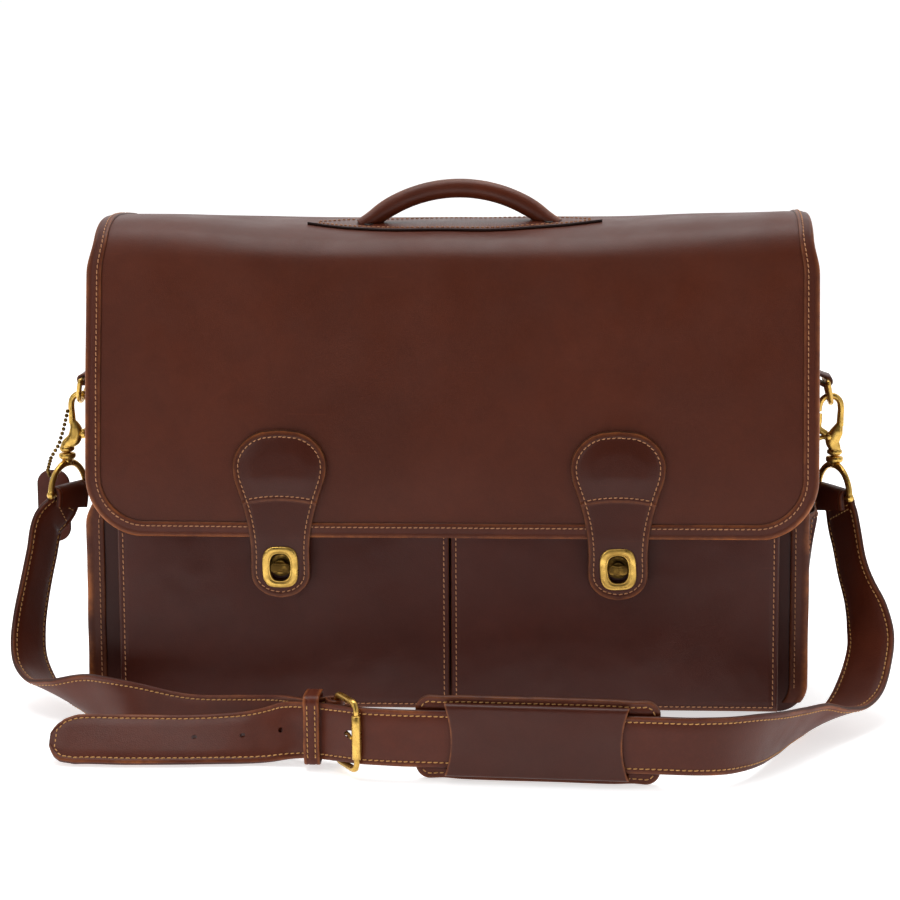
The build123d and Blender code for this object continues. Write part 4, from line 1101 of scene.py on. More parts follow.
# binding strips on the front panel's long edges
for sd, sx in (("left", -1), ("right", 1)):
    zs = np.concatenate([np.linspace(6, 20, 8), np.linspace(20, 259, 110)[1:]])
    V, F, at, dk = [], [], [], []
    dxb = 8.3 if sx < 0 else 0.0
    prof = [(201.8, 0.0), (201.9, 0.85), (202.4, 1.25), (204.5, 1.35), (207.6, 1.3), (208.6, 1.05), (209.6, 1.4), (211.2, 1.45), (212.3, 1.0), (213.0, 0.0), (213.1, -1.3), (212.9, -2.8), (212.2, -3.9), (209.9, -4.0), (209.7, -0.2), (205, -0.1)]
    wr = [0.0, 0.2, 0.25, 0.05, 0.05, 0.1, 0.3, 0.75, 1.0, 1.0, 0.9, 0.6, 0.3, 0, 0, 0]
    n = len(zs)
    for i, z in enumerate(zs):
        # the lower end turns in round the corner
        tuck = 17 - sqrt(max(17 ** 2 - max(17 - z, 0) ** 2, 0)) if z < 17 else 0.0
        wgl = 0.35 * noise.noise(Vector((sx * 3.0, z / 22.0, 0.5)))
        wn_ = 0.55 + 0.75 * noise.noise(Vector((sx * 9.0, z / 16.0, 4.5)))
        for (x, o), q_ in zip(prof, wr):
            V.append((sx * (x + (dxb + 3.6 * (sx < 0)) * (1 - smooth01((z - 112) / 30.0)) - 3.6 * (sx < 0) - tuck + wgl * (1 if x > 203 else 0.4)), float(front_y(z)) - o, z))
            at.append(max(0, min(1, q_ * wn_)))
    m = len(prof)
    for i in range(n - 1):
        for k in range(m):
            j = (k + 1) % m
            F.append((i * m + k, (i + 1) * m + k, (i + 1) * m + j, i * m + j))
    F += [tuple(range(m)), tuple((n - 1) * m + k for k in range(m))]
    mk(f"front_edge_binding_{sd}", V, F, M_BIND, "bag", None, ("front_panel_bindings",) if sx < 0 else (), attrs={"wear": at}, sharp=60)
    zz = np.linspace(14, 255, 300)
    tk = np.array([17 - sqrt(max(17 ** 2 - max(17 - z, 0) ** 2, 0)) if z < 17 else 0.0 for z in zz])
    stitches(f"front_edge_stitching_{sd}", np.stack([sx * (204.8 + (dxb + 3.6 * (sx < 0)) * (1 - smooth01((zz - 112) / 30.0)) - 3.6 * (sx < 0) - tk), front_y(zz) - 1.42, zz], 1), (0, -1, 0), T_BODY, "bag", None, pitch=3.25, length=2.4, r=0.33)
    # the same on the back
    V, at = [], []
    zs2 = np.concatenate([np.linspace(6, 20, 8), np.linspace(20, 279, 110)[1:]])
    for i, z in enumerate(zs2):
        tuck = 17 - sqrt(max(17 ** 2 - max(17 - z, 0) ** 2, 0)) if z < 17 else 0.0
        yb = 62.0 + 1.6 * sin(pi * min(z / 281, 1)) ** 0.8 * (1 - (206 / 214) ** 4)
        wn_ = 0.5 + 0.7 * noise.noise(Vector((sx * 5.0, z / 16.0, 8.5)))
        for (x, o), q_ in zip(prof, wr):
            V.append((sx * (x - tuck), yb + o, z))
            at.append(max(0, min(1, q_ * wn_)))
    mk(f"back_edge_binding_{sd}", V, F, M_BIND, "bag", None, (), attrs={"wear": at}, sharp=60)
    zz = np.linspace(14, 250, 290)
    tk = np.array([17 - sqrt(max(17 ** 2 - max(17 - z, 0) ** 2, 0)) if z < 17 else 0.0 for z in zz])
    yb = 62.0 + 1.6 * np.sin(pi * zz / 281) ** 0.8 * (1 - (204.3 / 214) ** 4)
    stitches(f"back_edge_stitching_{sd}", np.stack([sx * (204.3 - tk), yb + 1.42, zz], 1), (0, 1, 0), T_BODY, "bag", None, pitch=3.25, length=2.4, r=0.33)

    # side gusset: two soft bellows, with a turn into the base
    ys = np.linspace(-1, 1, 44)
    zt = np.concatenate([np.linspace(0, 1, 12)[:-1] * pi / 2, np.linspace(0, 1, 70) + pi / 2])
    G = np.zeros((len(zt), len(ys), 3))
    for i, a in enumerate(zt):
        if a < pi / 2:
            z = 19 - 3 - 16 * cos(a)
            x = 193.5 + 16 * sin(a)
            fz = 0.0
        else:
            fz = a - pi / 2
            z = 16 + fz * (259 - 16)
            x = 209.5
        y0 = float(front_y(max(z, 3))) + 3.6
        y1 = 58.4
        for j, v in enumerate(ys):
            y = y0 + (y1 - y0) * (v + 1) / 2
            top_ = z
            if fz > 0.9:
                top_ = z + (fz - 0.9) / 0.1 * max(0, (y - 7) / 51.0) * 15
            bulge = 1.5 * (1 - v ** 2) * sin(pi * min(fz * 1.0, 1)) if fz > 0 else 0
            fold = -0.9 * math.exp(-((y - 8.2) / 3.0) ** 2) * smooth01(fz * 4)
            flare = (8.0 if sx < 0 else 1.0) * (1 - smooth01((z - 112) / 30.0)) * smooth01((-12 - y) / 44.0) * (1.0 if a >= pi / 2 else sin(a))
            G[i, j] = (sx * (x + bulge + fold + flare), y, max(top_, 0.5))
    gridslab(f"gusset_leather_{sd}", G, 2.6, "bag", (f"gusset_{sd}",), M_BODY, flip=(sx < 0), wob=0.45, scale=45, seed=7.0 + sx)

    # low cover over the zip's end: a bulging flap of leather, stitched round three sides
    zs = np.linspace(17, 117.5, 56)
    ys = np.linspace(-45.5, 45.5, 54)
    Yc, Zc = np.meshgrid(ys, zs)
    prof_x = np.interp(zs, [17, 60, 86, 100, 112, 118], [212.0, 213.6, 215.8, 217.8, 220.2, 219.8])
    edge_fall = (np.abs(Yc) / 45.5) ** 5
    Xc = prof_x[:, None] - (prof_x[:, None] - 211.6) * edge_fall * 0.92
    Xc = Xc + 0.8 * np.sin(Yc / 9.0) * smooth01((Zc - 80) / 30.0) * (1 - edge_fall)
    Pc = np.stack([sx * Xc, Yc, Zc], -1)
    gridslab(f"gusset_cover_leather_{sd}", Pc, 1.9, "bag", (f"gusset_cover_{sd}",), M_BODY, flip=(sx < 0), wob=0.4, scale=35, seed=11.0 + sx, wear=0.5, dark=0.4)
    for k, (ya, yb_) in enumerate(((-42.3, -42.3), (42.3, 42.3))):
        zz = np.linspace(20, 115, 140)
        xx = np.interp(zz, zs, prof_x)
        ef = (42.3 / 45.5) ** 5
        xx = xx - (xx - 211.6) * ef * 0.92 + 0.8 * np.sin(ya / 9.0) * smooth01((zz - 80) / 30.0) * (1 - ef) + 0.15
        stitches(f"gusset_cover_stitching_{sd}_{k}", np.stack([sx * xx, 0 * zz + ya, zz], 1), (sx, 0, 0), T_BODY, "bag", None, pitch=3.25, length=2.4, r=0.33, lift=0.2)
    yy = np.linspace(-42, 42, 130)
    xx = np.interp(114.6, zs, prof_x)
    ef = (np.abs(yy) / 45.5) ** 5
    xx = xx - (xx - 211.6) * ef * 0.92 + 0.8 * np.sin(yy / 9.0) * (1 - ef)
    stitches(f"gusset_cover_top_stitching_{sd}", np.stack([sx * xx + sx * 0.25, yy, 0 * yy + 114.6], 1), (sx, 0, 0), T_BODY, "bag", None, pitch=3.25, length=2.4, r=0.33, lift=0.2)

    # the zip's tapes and teeth going down the side
    zs = np.linspace(119, 261, 72)
    xo = np.interp(zs, [119, 150, 190, 235, 262], [221.0, 219.6, 216.2, 212.2, 210.6])
    ys = np.linspace(22.5, 43.5, 17)
    Yt, Zt = np.meshgrid(ys, zs)
    Xt = xo[:, None] - (xo[:, None] - 209.3) * ((np.abs(Yt - 33) / 10.5) ** 2.2) * 0.55 - 0.5
    gridslab(f"zip_side_tape_{sd}", np.stack([sx * Xt, Yt, Zt], -1), 1.4, "bag", ("zip_side_tapes",) if sx < 0 else (), ZIP, flip=(sx < 0), wob=0.15, scale=12, dark=0.2)
    V, F = [], []
    k = 0
    for z in np.arange(122, 258, 2.5):
        x = np.interp(z, zs, xo) - 0.2
        for q_ in (-1, 1):
            c = (sx * (x + 0.3), 33 + q_ * 1.55, z + (0.6 if q_ > 0 else -0.6))
            v_, f_ = lathe((c[0], c[1] - 1.9, c[2]), (0, 1, 0), [(0, 0.35), (0.3, 0.85), (1.9, 0.95), (3.5, 0.85), (3.8, 0.35)], 8)
            o = len(V)
            V += [tuple(p) for p in v_]
            F += [tuple(i + o for i in ff) for ff in f_]
    mk(f"zip_side_teeth_{sd}", V, F, COIL, "bag", None, (), sharp=0)
    # edge facings beside the tapes
    for k, (ya, yb_) in enumerate(((10.0, 23.0), (43.0, 57.5))):
        ys = np.linspace(ya, yb_, 10)
        Yf, Zf = np.meshgrid(ys, zs)
        tt_ = (Yf - ya) / (yb_ - ya)
        near = tt_ if k == 0 else 1 - tt_
        Xf = 210.6 + (xo[:, None] - 210.6) * near ** 1.5 * 0.8 + 0.6
        gridslab(f"zip_side_facing_{sd}_{k}", np.stack([sx * Xf, Yf, Zf], -1), 1.5, "bag", (), M_BODY, flip=(sx < 0), wob=0.2, scale=25, dark=0.5)
        ye = yb_ - 2.6 if k == 0 else ya + 2.6
        ne = ((ye - ya) / (yb_ - ya)) if k == 0 else 1 - ((ye - ya) / (yb_ - ya))
        xe = 210.6 + (xo - 210.6) * ne ** 1.5 * 0.8 + 0.7
        stitches(f"zip_side_stitching_{sd}_{k}", np.stack([sx * xe, 0 * zs + ye, zs], 1), (sx, 0, 0), T_BODY, "bag", None, pitch=3.0, length=2.2, r=0.3, lift=0.15)

# zip across the top
for nm, ya, za, yb_, zb, rep in (("front", 9.4, 272.0, 29.8, 274.1, "zip_tape_front"), ("rear", 36.2, 274.1, 58.4, 277.1, "zip_tape_rear")):
    X, Yt = np.meshgrid(np.linspace(-205.6, 205.6, 120), np.linspace(ya, yb_, 12))
    Zt = za + (zb - za) * (Yt - ya) / (yb_ - ya) - 0.1
    gridslab(f"{rep}_cloth", np.stack([X, Yt, Zt], -1), 1.5, "bag", (rep,), ZIP, flip=False, wob=0.25, scale=50, dark=0.2)
for nm, y0 in (("front", 30.9), ("rear", 35.1)):
    V, F = [], []
    for k, x in enumerate(np.arange(-199, 195.5, 2.6)):
        xx = x + (1.3 if nm == "rear" else 0)
        v_, f_ = lathe((xx, y0 - 2.1, 273.4), (0, 1, 0), [(0, 0.5), (0.3, 0.95), (2.1, 1.05), (3.9, 0.95), (4.2, 0.5)], 8)
        o = len(V)
        V += [tuple(p) for p in v_]
        F += [tuple(i + o for i in ff) for ff in f_]
    mk(f"zip_teeth_{nm}", V, F, COIL, "bag", None, (f"zip_coil_{nm}",), sharp=0)

# =============================================================== front pockets
for sd, sx in (("left", -1), ("right", 1)):
    xa, xb = (0.2, 198.0) if sx < 0 else (1.0, 194.0)
    nx, nz = 96, 66
    u = np.linspace(0, 1, nx)
    u = 0.5 - 0.5 * np.cos(pi * u) * (0.25 + 0.75 * np.abs(np.cos(pi * u)) ** 0.0)
    v = np.linspace(0, 1, nz)
    Uu, Vv = np.meshgrid(u, v)
    X = sx * (xa + (xb - xa) * Uu)
    Z = 5 + 115 * Vv
    # the face swells a little low down and is drawn in at its stitched edges
    bul = 2.3 * np.sin(pi * np.clip(Uu, 0, 1)) ** 0.7 * np.sin(pi * np.clip(Vv * 1.12, 0, 1)) ** 0.9
    dE = np.minimum(np.minimum((X - sx * xa) * sx, (sx * xb - X) * sx), Z - 5)
    drawn = -0.55 * np.exp(-((dE - 3.0) / 1.3) ** 2)
    roll = -1.2 * np.clip(1 - dE / 1.6, 0, 1) ** 2
    Y = pocket_y(Z) - (bul + drawn + roll)
    # soft standing creases down from the flap
    cr = np.zeros_like(X)
    for cx, cw, ca, tl in ((40, 9, 0.5, 0.05), (88, 14, -0.5, -0.12), (128, 8, 0.45, 0.10), (163, 11, 0.4, -0.04)):
        cr += ca * np.exp(-(((X * sx) - cx - tl * (Z - 60)) / cw) ** 2) * smooth01((Z - 10) / 40.0) * smooth01((118 - Z) / 20.0)
    Y = Y - cr * (0.7 if sx > 0 else 0.9)
    P = np.stack([X, Y, Z], -1)
    ob, P, N = gridslab(f"pocket_{sd}_leather", P, 2.3, "bag", (f"pocket_{sd}_front",), M_POCK, flip=(sx < 0), wob=0.55, scale=42, seed=20.0 + sx, wear=0.35, dark=0.5,
                        mask=smooth01(dE / 8.0))
    # stitching down both sides and along the base
    line = [(sx * (xa + 3.0), z) for z in np.linspace(117, 8, 140)] + [(sx * x, 8.0) for x in np.linspace(xa + 3, xb - 3, 220)[1:-1]] + [(sx * (xb - 3.0), z) for z in np.linspace(8, 117, 140)]
    line = np.array(line)
    from_x, from_z = X[0], Z[:, 0]
    o_ = np.argsort(from_x)
    def at_line(q_):
        ix = np.clip(np.searchsorted(from_x[o_], q_[:, 0]), 1, nx - 1)
        fx = (q_[:, 0] - from_x[o_][ix - 1]) / (from_x[o_][ix] - from_x[o_][ix - 1] + 1e-9)
        iz = np.clip(np.searchsorted(from_z, q_[:, 1]), 1, nz - 1)
        fz = (q_[:, 1] - from_z[iz - 1]) / (from_z[iz] - from_z[iz - 1] + 1e-9)
        Q = P[:, o_]
        a_ = Q[iz - 1, ix - 1] * (1 - fx)[:, None] + Q[iz - 1, ix] * fx[:, None]
        b_ = Q[iz, ix - 1] * (1 - fx)[:, None] + Q[iz, ix] * fx[:, None]
        return a_ * (1 - fz)[:, None] + b_ * fz[:, None]
    stitches(f"pocket_{sd}_stitching", at_line(line), (0, -1, 0), T_BODY, "bag", None, pitch=3.25, length=2.4, r=0.34, lift=0.08)
    hem = np.array([(sx * x, 112.5) for x in np.linspace(xa + 6, xb - 6, 220)])
    stitches(f"pocket_{sd}_hem_stitching", at_line(hem), (0, -1, 0), T_BODY, "bag", None, pitch=3.25, length=2.4, r=0.32, lift=0.05)
    # folded side gussets and the base strip
    for k, xg in enumerate((xa + 2.6, xb - 2.6)):
        zz = np.linspace(7.6, 117, 40)
        tq = np.linspace(0, 1, 14)
        Tq, Zq = np.meshgrid(tq, zz)
        Yq = (pocket_y(Zq) + 1.2) * (1 - Tq) + (front_y(Zq) - 0.2) * Tq
        inw = (1 if k == 0 else -1)
        Xq = xg + inw * 0.9 * np.sin(pi * Tq) * 1.4
        gridslab(f"pocket_{sd}_side_{k}", np.stack([sx * Xq, Yq, Zq], -1), 1.7, "bag", (f"pocket_{sd}_gusset",) if k == 0 else (), M_POCK,
                 flip=((sx > 0) == (k == 0)), e=0.5, wob=0.25, scale=18, seed=3.0 + k)
    Xq, Tq = np.meshgrid(np.linspace(xa + 2, xb - 2, 60), np.linspace(0, 1, 8))
    Yq = (float(pocket_y(6)) + 1.2) * (1 - Tq) + (float(front_y(6)) - 0.2) * Tq
    gridslab(f"pocket_{sd}_base", np.stack([sx * Xq, Yq, 5.4 + 0 * Xq], -1), 1.7, "bag", (), M_POCK, flip=(sx > 0), e=0.5)

# =============================================================== shoulder strap
H = 16.0
LONG = [
    ((-219.6, -175.5, 11.4), (0, 0.75, 0.66), 4.5),
    ((-217, -175.4, 11.4), (0, 0.75, 0.66), 10),
    ((-212.5, -175.3, 11.4), (0, 0.75, 0.66), 13.8),
    ((-205, -175.1, 12.1), (0, 0.75, 0.66), H),
    ((-174, -174.8, 12.2), (0, 0.745, 0.67), H),
    ((-140, -172.9, 12), (0, 0.76, 0.65), H),
    ((-121, -171.4, 12.4), (0, 0.73, 0.68), H),
    ((-106.5, -170.6, 13.3), (0, 0.66, 0.75), H),
    ((-95.8, -171.8, 15.4), (0, 0.52, 0.85), H),
    ((-85.5, -174.8, 18.6), (0, 0.28, 0.96), H),
    ((-73.5, -179.3, 20.6), (0, 0.04, 1), H),
    ((-65.5, -183.2, 21.3), (0, 0.02, 1), H),
    ((-57.5, -188.8, 22.1), (0, 0, 1), H),
    ((-49.5, -194.2, 22.9), (0, 0, 1), H),
    ((-41.5, -199, 23.4), (0, 0, 1), H),
    ((-25, -202, 23.5), (0, 0, 1), H), ((0, -203.55, 23.5), (0, 0, 1), H),
    ((60, -207.27, 23.5), (0, 0, 1), H), ((120, -210.98, 23.5), (0, 0, 1), H),
    ((142, -212.35, 23.5), (0, 0, 1), H),
    ((158, -206, 22.3), (0.12, 0.05, 0.99), H),
    ((172, -193.3, 20.6), (0.26, 0.1, 0.96), H),
    ((184, -175.7, 17.8), (0.47, 0.22, 0.85), H),
    ((196, -153, 15.1), (0.62, 0.28, 0.72), H),
    ((208, -131, 13.6), (0.74, 0.2, 0.6), H),
    ((219.8, -111, 10.3), (0.86, -0.1, 0.48), H),
    ((231.5, -93, 11), (0.92, -0.22, 0.33), H),
    ((241.2, -77.2, 17.4), (0.92, -0.3, 0.27), H),
    ((247.3, -63.4, 28.8), (0.86, -0.41, 0.31), H),
    ((250.7, -49.4, 41.9), (0.77, -0.56, 0.29), H),
    ((249.6, -38.6, 52.6), (0.67, -0.69, 0.28), H),
    ((246.4, -27.6, 64), (0.5, -0.81, 0.3), H),
    ((242, -17.4, 79), (0.43, -0.84, 0.32), H),
    ((239, -9.6, 95.5), (0.44, -0.87, 0.22), H),
]
SHORT = [
    ((-255.5, -10, 101.5), (-0.36, -0.88, 0.3), H),
    ((-258.8, -16, 83.6), (-0.32, -0.87, 0.37), H),
    ((-262, -24.5, 62.6), (-0.32, -0.84, 0.44), H),
    ((-263.3, -34.4, 45), (-0.38, -0.79, 0.49), H),
    ((-262, -44.5, 30.8), (-0.48, -0.7, 0.53), H),
    ((-255.7, -57.6, 19.2), (-0.68, -0.5, 0.54), H),
    ((-244, -72.4, 12.8), (-0.82, -0.24, 0.5), H),
    ((-228, -89, 13), (-0.8, 0.02, 0.52), H),
    ((-206.5, -107.5, 16.2), (-0.66, 0.34, 0.62), H),
    ((-181, -129, 16), (-0.4, 0.52, 0.72), H),
    ((-150, -142, 14.2), (-0.1, 0.62, 0.77), H),
    ((-113, -150.6, 15.6), (-0.04, 0.46, 0.88), H),
    ((-91.3, -159, 18), (0, 0.22, 0.97), H),
    ((-81.5, -167, 19.6), (0, 0.08, 1), H),
    ((-73.5, -173.2, 20.8), (0, 0, 1), H),
    ((-65.5, -177, 22), (0, 0, 1), H),
]
EYE_Z = {"left": 120.6, "right": 121.6}
EYE_X = {"left": -244.0, "right": 231.5}
EYE_D = {"left": unit((-.44, -.90, 0)), "right": unit((.48, -.88, 0))}


class Band:
    """A flat strap through its stations: centre, width direction and half width at any length."""

    def __init__(self, st, t=3.2, step=1.7):
        C = np.array([s[0] for s in st], float)
        W = np.array([unit(s[1]) for s in st])
        h = np.array([s[2] for s in st], float)
        tc_ = chord(C)
        fine = np.linspace(0, tc_[-1], 4000)
        c = herm(tc_, C, fine)
        w = herm(tc_, W, fine)
        hh = np.interp(fine, tc_, h)
        d = chord(c)
        n = max(8, int(d[-1] / step))
        q = np.linspace(0, d[-1], n)
        pick = lambda a: np.stack([np.interp(q, d, a[:, k]) for k in range(a.shape[1])], 1)
        self.C, self.s, self.t = pick(c), q, t
        self.h = np.interp(q, d, hh)
        T = unit(np.gradient(self.C, axis=0))
        Wf = pick(w)
        self.W = unit(Wf - (Wf * T).sum(1, keepdims=True) * T)
        self.N = np.cross(T, self.W)
        self.L = d[-1]

    def at(self, s, w, n=0.0):
        s, w = np.asarray(s, float), np.asarray(w, float)
        f = lambda a: np.stack([np.interp(s, self.s, a[:, k]) for k in range(3)], -1)
        N = unit(f(self.N))
        return f(self.C) + f(self.W) * w[..., None] + N * np.asarray(n, float)[..., None], N

    def mesh(self, seed=1.0):
        t = self.t / 2
        V, F, wear, dark = [], [], [], []
        m = None
        for i in range(len(self.C)):
            h = self.h[i]
            g = min(3.0, h * 0.45)
            k = min(1.0, h / 6)
            side = [(-h + 0.9 * k, 0), (-h + (g - 0.7) * 1.0, 0.02), (-h + g, -0.26), (-h + g + 0.7, 0.03), (-h * 0.45, 0.10), (0, 0.12), (h * 0.45, 0.10), (h - g - 0.7, 0.03), (h - g, -0.26),
                    (h - g + 0.7, 0.02), (h - 0.9 * k, 0)]
            e1 = [(h - 0.30, -0.28), (h, -0.75), (h + 0.02, -1.45), (h - 0.08, -1.62), (h + 0.02, -1.8), (h, -2.45), (h - 0.30, -2.92)]
            pr = [(a, t + b) for a, b in side] + [(a, t + b) for a, b in e1] + [(a, -t - b) for a, b in side[::-1]] + [(-a, t + b) for a, b in e1[::-1]]
            wv = [0.5, 0.1, 0, 0, 0, 0, 0, 0, 0, 0.1, 0.5] + [0.7, 0.3, 0.1, 0, 0.1, 0.3, 0.7] + [0.5, 0.1, 0, 0, 0, 0, 0, 0, 0, 0.1, 0.5] + [0.7, 0.3, 0.1, 0, 0.1, 0.3, 0.7]
            dv = [0] * 11 + [0.0, 0.35, 0.6, 0.95, 0.6, 0.35, 0.0] + [0] * 11 + [0.0, 0.35, 0.6, 0.95, 0.6, 0.35, 0.0]
            a_ = 0.35 + 0.8 * noise.noise(Vector((self.s[i] / 24.0, seed, 0.3)))
            m = len(pr)
            sway = 0.25 * noise.noise(Vector((self.s[i] / 35.0, seed, 5.3)))
            for (p, q_), x_, y_ in zip(pr, wv, dv):
                V.append(self.C[i] + self.W[i] * (p + sway) + self.N[i] * q_)
                wear.append(max(0, min(1, x_ * a_)))
                dark.append(y_)
        n = len(self.C)
        for i in range(n - 1):
            for k in range(m):
                j = (k + 1) % m
                F.append((i * m + k, (i + 1) * m + k, (i + 1) * m + j, i * m + j))
        for base in (0, (n - 1) * m):
            c = len(V)
            V.append(np.mean(V[base:base + m], axis=0))
            wear.append(0)
            dark.append(0.8)
            for q_ in range(m):
                F.append((base + q_, base + (q_ + 1) % m, c))
        return V, F, {"wear": wear, "dark": dark}


def eye_wrap(side, back=24.0):
    """Stations for the strap's end round the eye's bar, coming up from below."""
    c = np.array([EYE_X[side], 0.0, EYE_Z[side]])
    d = EYE_D[side]
    nn = np.array([d[1], -d[0], 0.0])
    if (nn[0] > 0) == (side == "right"):
        out_ = nn
    else:
        out_ = -nn
    r = 1.6 + 1.75
    st = [(tuple(c + out_ * (r + 0.4) + d * 2.0 + np.array([0, 0, -9.0])), tuple(d), 15.0)]
    for a in (0, 40, 80, 120, 160, 185):
        t = radians(a)
        st.append((tuple(c + out_ * r * cos(t) + np.array([0, 0, r * sin(t)])), tuple(d), 14.4))
    st.append((tuple(c - out_ * (r - 0.3) + d * 1.2 + np.array([0, 0, -10.0])), tuple(d), 14.8))
    return st, out_, d, c


for side in ("right", "left"):
    wr_, out_, d, c = eye_wrap(side)
    if side == "right":
        st = LONG + wr_
    else:
        st = [(a, b, h_) for a, b, h_ in wr_[::-1]] + SHORT
    # keep the width direction's sense the same all along
    fixed = []
    prev = None
    for a, b, h_ in (st if side == "right" else st[::-1]):
        b = np.array(b, float)
        if prev is not None and np.dot(b, prev) < 0:
            b = -b
        prev = b
        fixed.append((a, tuple(b), h_))
    if side == "left":
        fixed = fixed[::-1]
    if side == "right":
        LONG_ALL = fixed
    else:
        SHORT_ALL = fixed

bl = Band(LONG_ALL)
V, F, A = bl.mesh(1.0)
ob = mk("strap_long_leather", V, F, M_STRAP, None, attrs=A, sharp=55)


def cyl_cut(p, ax, r, half, n=20, long=None):
    v_, f_ = lathe(np.array(p) - unit(np.array(ax)) * half, ax, [(0, r), (2 * half, r)], n)
    return v_, f_


bdir = unit(np.array([-42.8 + 56.0, -203.4 + 181.4, 0.0]))
heel = np.array([-56.0, -181.4, 23.5])
B_LEN = sqrt(13.2 ** 2 + 22 ** 2)
mid = heel + bdir * 12.5
sv, sf = cyl_cut(mid + bdir * 1.2, bdir, 2.5, 10.6)
cut(ob, sv, sf)
holes = []
for hx in (-88.5, -111.2, -137.3):
    i = int(np.argmin(np.abs(bl.C[:, 0] - hx) + (bl.C[:, 1] > -150) * 999))
    holes.append((bl.C[i] + bl.W[i] * 0.6, bl.N[i]))
    cut(ob, *cyl_cut(holes[-1][0], bl.N[i], 1.55, 4.0, 22))
done(ob, "strap", None, ("strap_long",))

# the short strap ends in a fold round the buckle's heel bar
fold = [((-55.5, -178.9, 22.9), (0, 0, 1), H)]
r = 1.6 + 1.75
acr = np.array([-bdir[1], bdir[0], 0.0])
if acr[1] < 0:
    acr = -acr
hp = []
for a in (90, 45, 0, -45, -90):
    t = radians(a)
    p = heel + acr * r * sin(t) + bdir * r * cos(t)
    hp.append(((p[0], p[1], 23.2), (0, 0, 1), 15.9))
SHORT_B = SHORT_ALL[:-1]
bs = Band(SHORT_B + [((-62.0, -174.6, 21.6), (0, 0, 1), H)] + [((heel + acr * (r + 0.1) - bdir * 5.0)[0], (heel + acr * (r + 0.1) - bdir * 5.0)[1], 23.0), (0, 0, 1), H] and
          SHORT_B + [(tuple((heel + acr * (r + 0.2) - bdir * 6.0)[:2]) + (22.9,), (0, 0, 1), H)] + hp + [(tuple((heel - acr * (r - 0.9) - bdir * 5.5)[:2]) + (23.0,), (0, 0, 1), 15.9)], t=3.0)
V, F, A = bs.mesh(4.0)
ob = mk("strap_short_leather", V, F, M_STRAP, None, attrs=A, sharp=55)
sv, sf = cyl_cut(heel + bdir * 2.0, bdir, 3.1, 5.4)
cut(ob, sv, sf)
done(ob, "strap", None, ("strap_short",))


def edge_stitch(name, band, s0, s1, sides=(1, -1), edges=(1, -1), inset=3.0, **kw):
    n_ = int((s1 - s0) / 0.9)
    s = np.linspace(s0, s1, n_)
    h = np.interp(s, band.s, band.h)
    for sd_ in sides:
        for ed in edges:
            P, N = band.at(s, ed * (h - inset), sd_ * (band.t / 2 - 0.17))
            stitches(f"{name}_{'a' if sd_ > 0 else 'b'}{'u' if ed > 0 else 'l'}", P, N * sd_, T_STRAP, "strap", None, pitch=3.3, length=2.55, r=0.37, lift=0.1, **kw)


# tail: the stitching turns round the tip
s_keep = float(bl.s[int(np.argmin(np.abs(bl.C[:, 0] + 73.5) + (bl.C[:, 1] > -150) * 999))])
for sd_ in (1, -1):
    hs = np.linspace(3.4, s_keep, 200)
    hh = np.interp(hs, bl.s, bl.h)
    low = np.stack([hs, -(np.maximum(hh - 3.0 - 1.8 * np.exp(-((hs - 3.4) / 2.5) ** 2), 0.5))], 1)
    upp = np.stack([hs, (np.maximum(hh - 3.0 - 1.8 * np.exp(-((hs - 3.4) / 2.5) ** 2), 0.5))], 1)
    path = np.vstack([low[::-1], upp])
    path = resample(path, 0.9)
    P, N = bl.at(path[:, 0], path[:, 1], sd_ * (bl.t / 2 - 0.17))
    stitches(f"strap_tail_stitching_{'a' if sd_ > 0 else 'b'}", P, N * sd_, T_STRAP, "strap", None, pitch=3.3, length=2.55, r=0.37, lift=0.1)
edge_stitch("strap_long_stitching", bl, s_keep + 1, bl.L - 34)
edge_stitch("strap_short_stitching", bs, 34, bs.L - 20)
for nm, band, ss_ in (("long", bl, bl.L - 30), ("short", bs, 30)):
    for k, ds in enumerate((0, 14)):
        s_ = ss_ + (ds if nm == "short" else -ds) * 0.0 + (0 if k == 0 else (-4 if nm == "long" else 4))
        w_ = np.linspace(-12.5, 12.5, 40)
        for sd_ in (1, -1):
            P, N = band.at(np.full(40, s_), w_, sd_ * (band.t / 2 - 0.05))
            stitches(f"strap_fold_stitching_{nm}_{k}_{'a' if sd_ > 0 else 'b'}", P, N * sd_, T_STRAP, "strap", None, pitch=3.2, length=2.4, r=0.36)

# keeper: a stitched loop round both layers
kx0, kx1 = -74.1, -65.1
corner = lambda y0, y1, z0, z1, r_: [(y, z) for cy, cz, a0 in ((y1 - r_, z1 - r_, 0), (y0 + r_, z1 - r_, 90), (y0 + r_, z0 + r_, 180), (y1 - r_, z0 + r_, 270))
                                     for y, z in [(cy + r_ * cos(radians(a0 + a)), cz + r_ * sin(radians(a0 + a))) for a in range(0, 91, 15)]]
loop = np.array(corner(-188.0, -168.4, 2.9, 41.1, 3.2))
loop = resample(np.vstack([loop, loop[:1]]), 1.2)[:-1]
prof = [(-4.5, -0.55), (-4.45, 0.45), (-4.0, 0.75), (-2.6, 0.8), (-2.0, 0.55), (-1.4, 0.8), (1.4, 0.8), (2.0, 0.55), (2.6, 0.8), (4.0, 0.75), (4.45, 0.45), (4.5, -0.55), (4.2, -0.75), (-4.2, -0.75)]
fr = []
tl = unit(np.roll(loop, -1, 0) - np.roll(loop, 1, 0))
for i in range(len(loop)):
    nrm = np.array([0, tl[i][1], -tl[i][0]])
    if np.dot(nrm[1:], loop[i] - loop.mean(0)) < 0:
        nrm = -nrm
    dxs = 0.35 * noise.noise(Vector((loop[i][0] / 9, loop[i][1] / 9, 3.0)))
    fr.append((np.array([(kx0 + kx1) / 2 + dxs, loop[i][0], loop[i][1]]), np.array([1.0, 0, 0]), nrm))
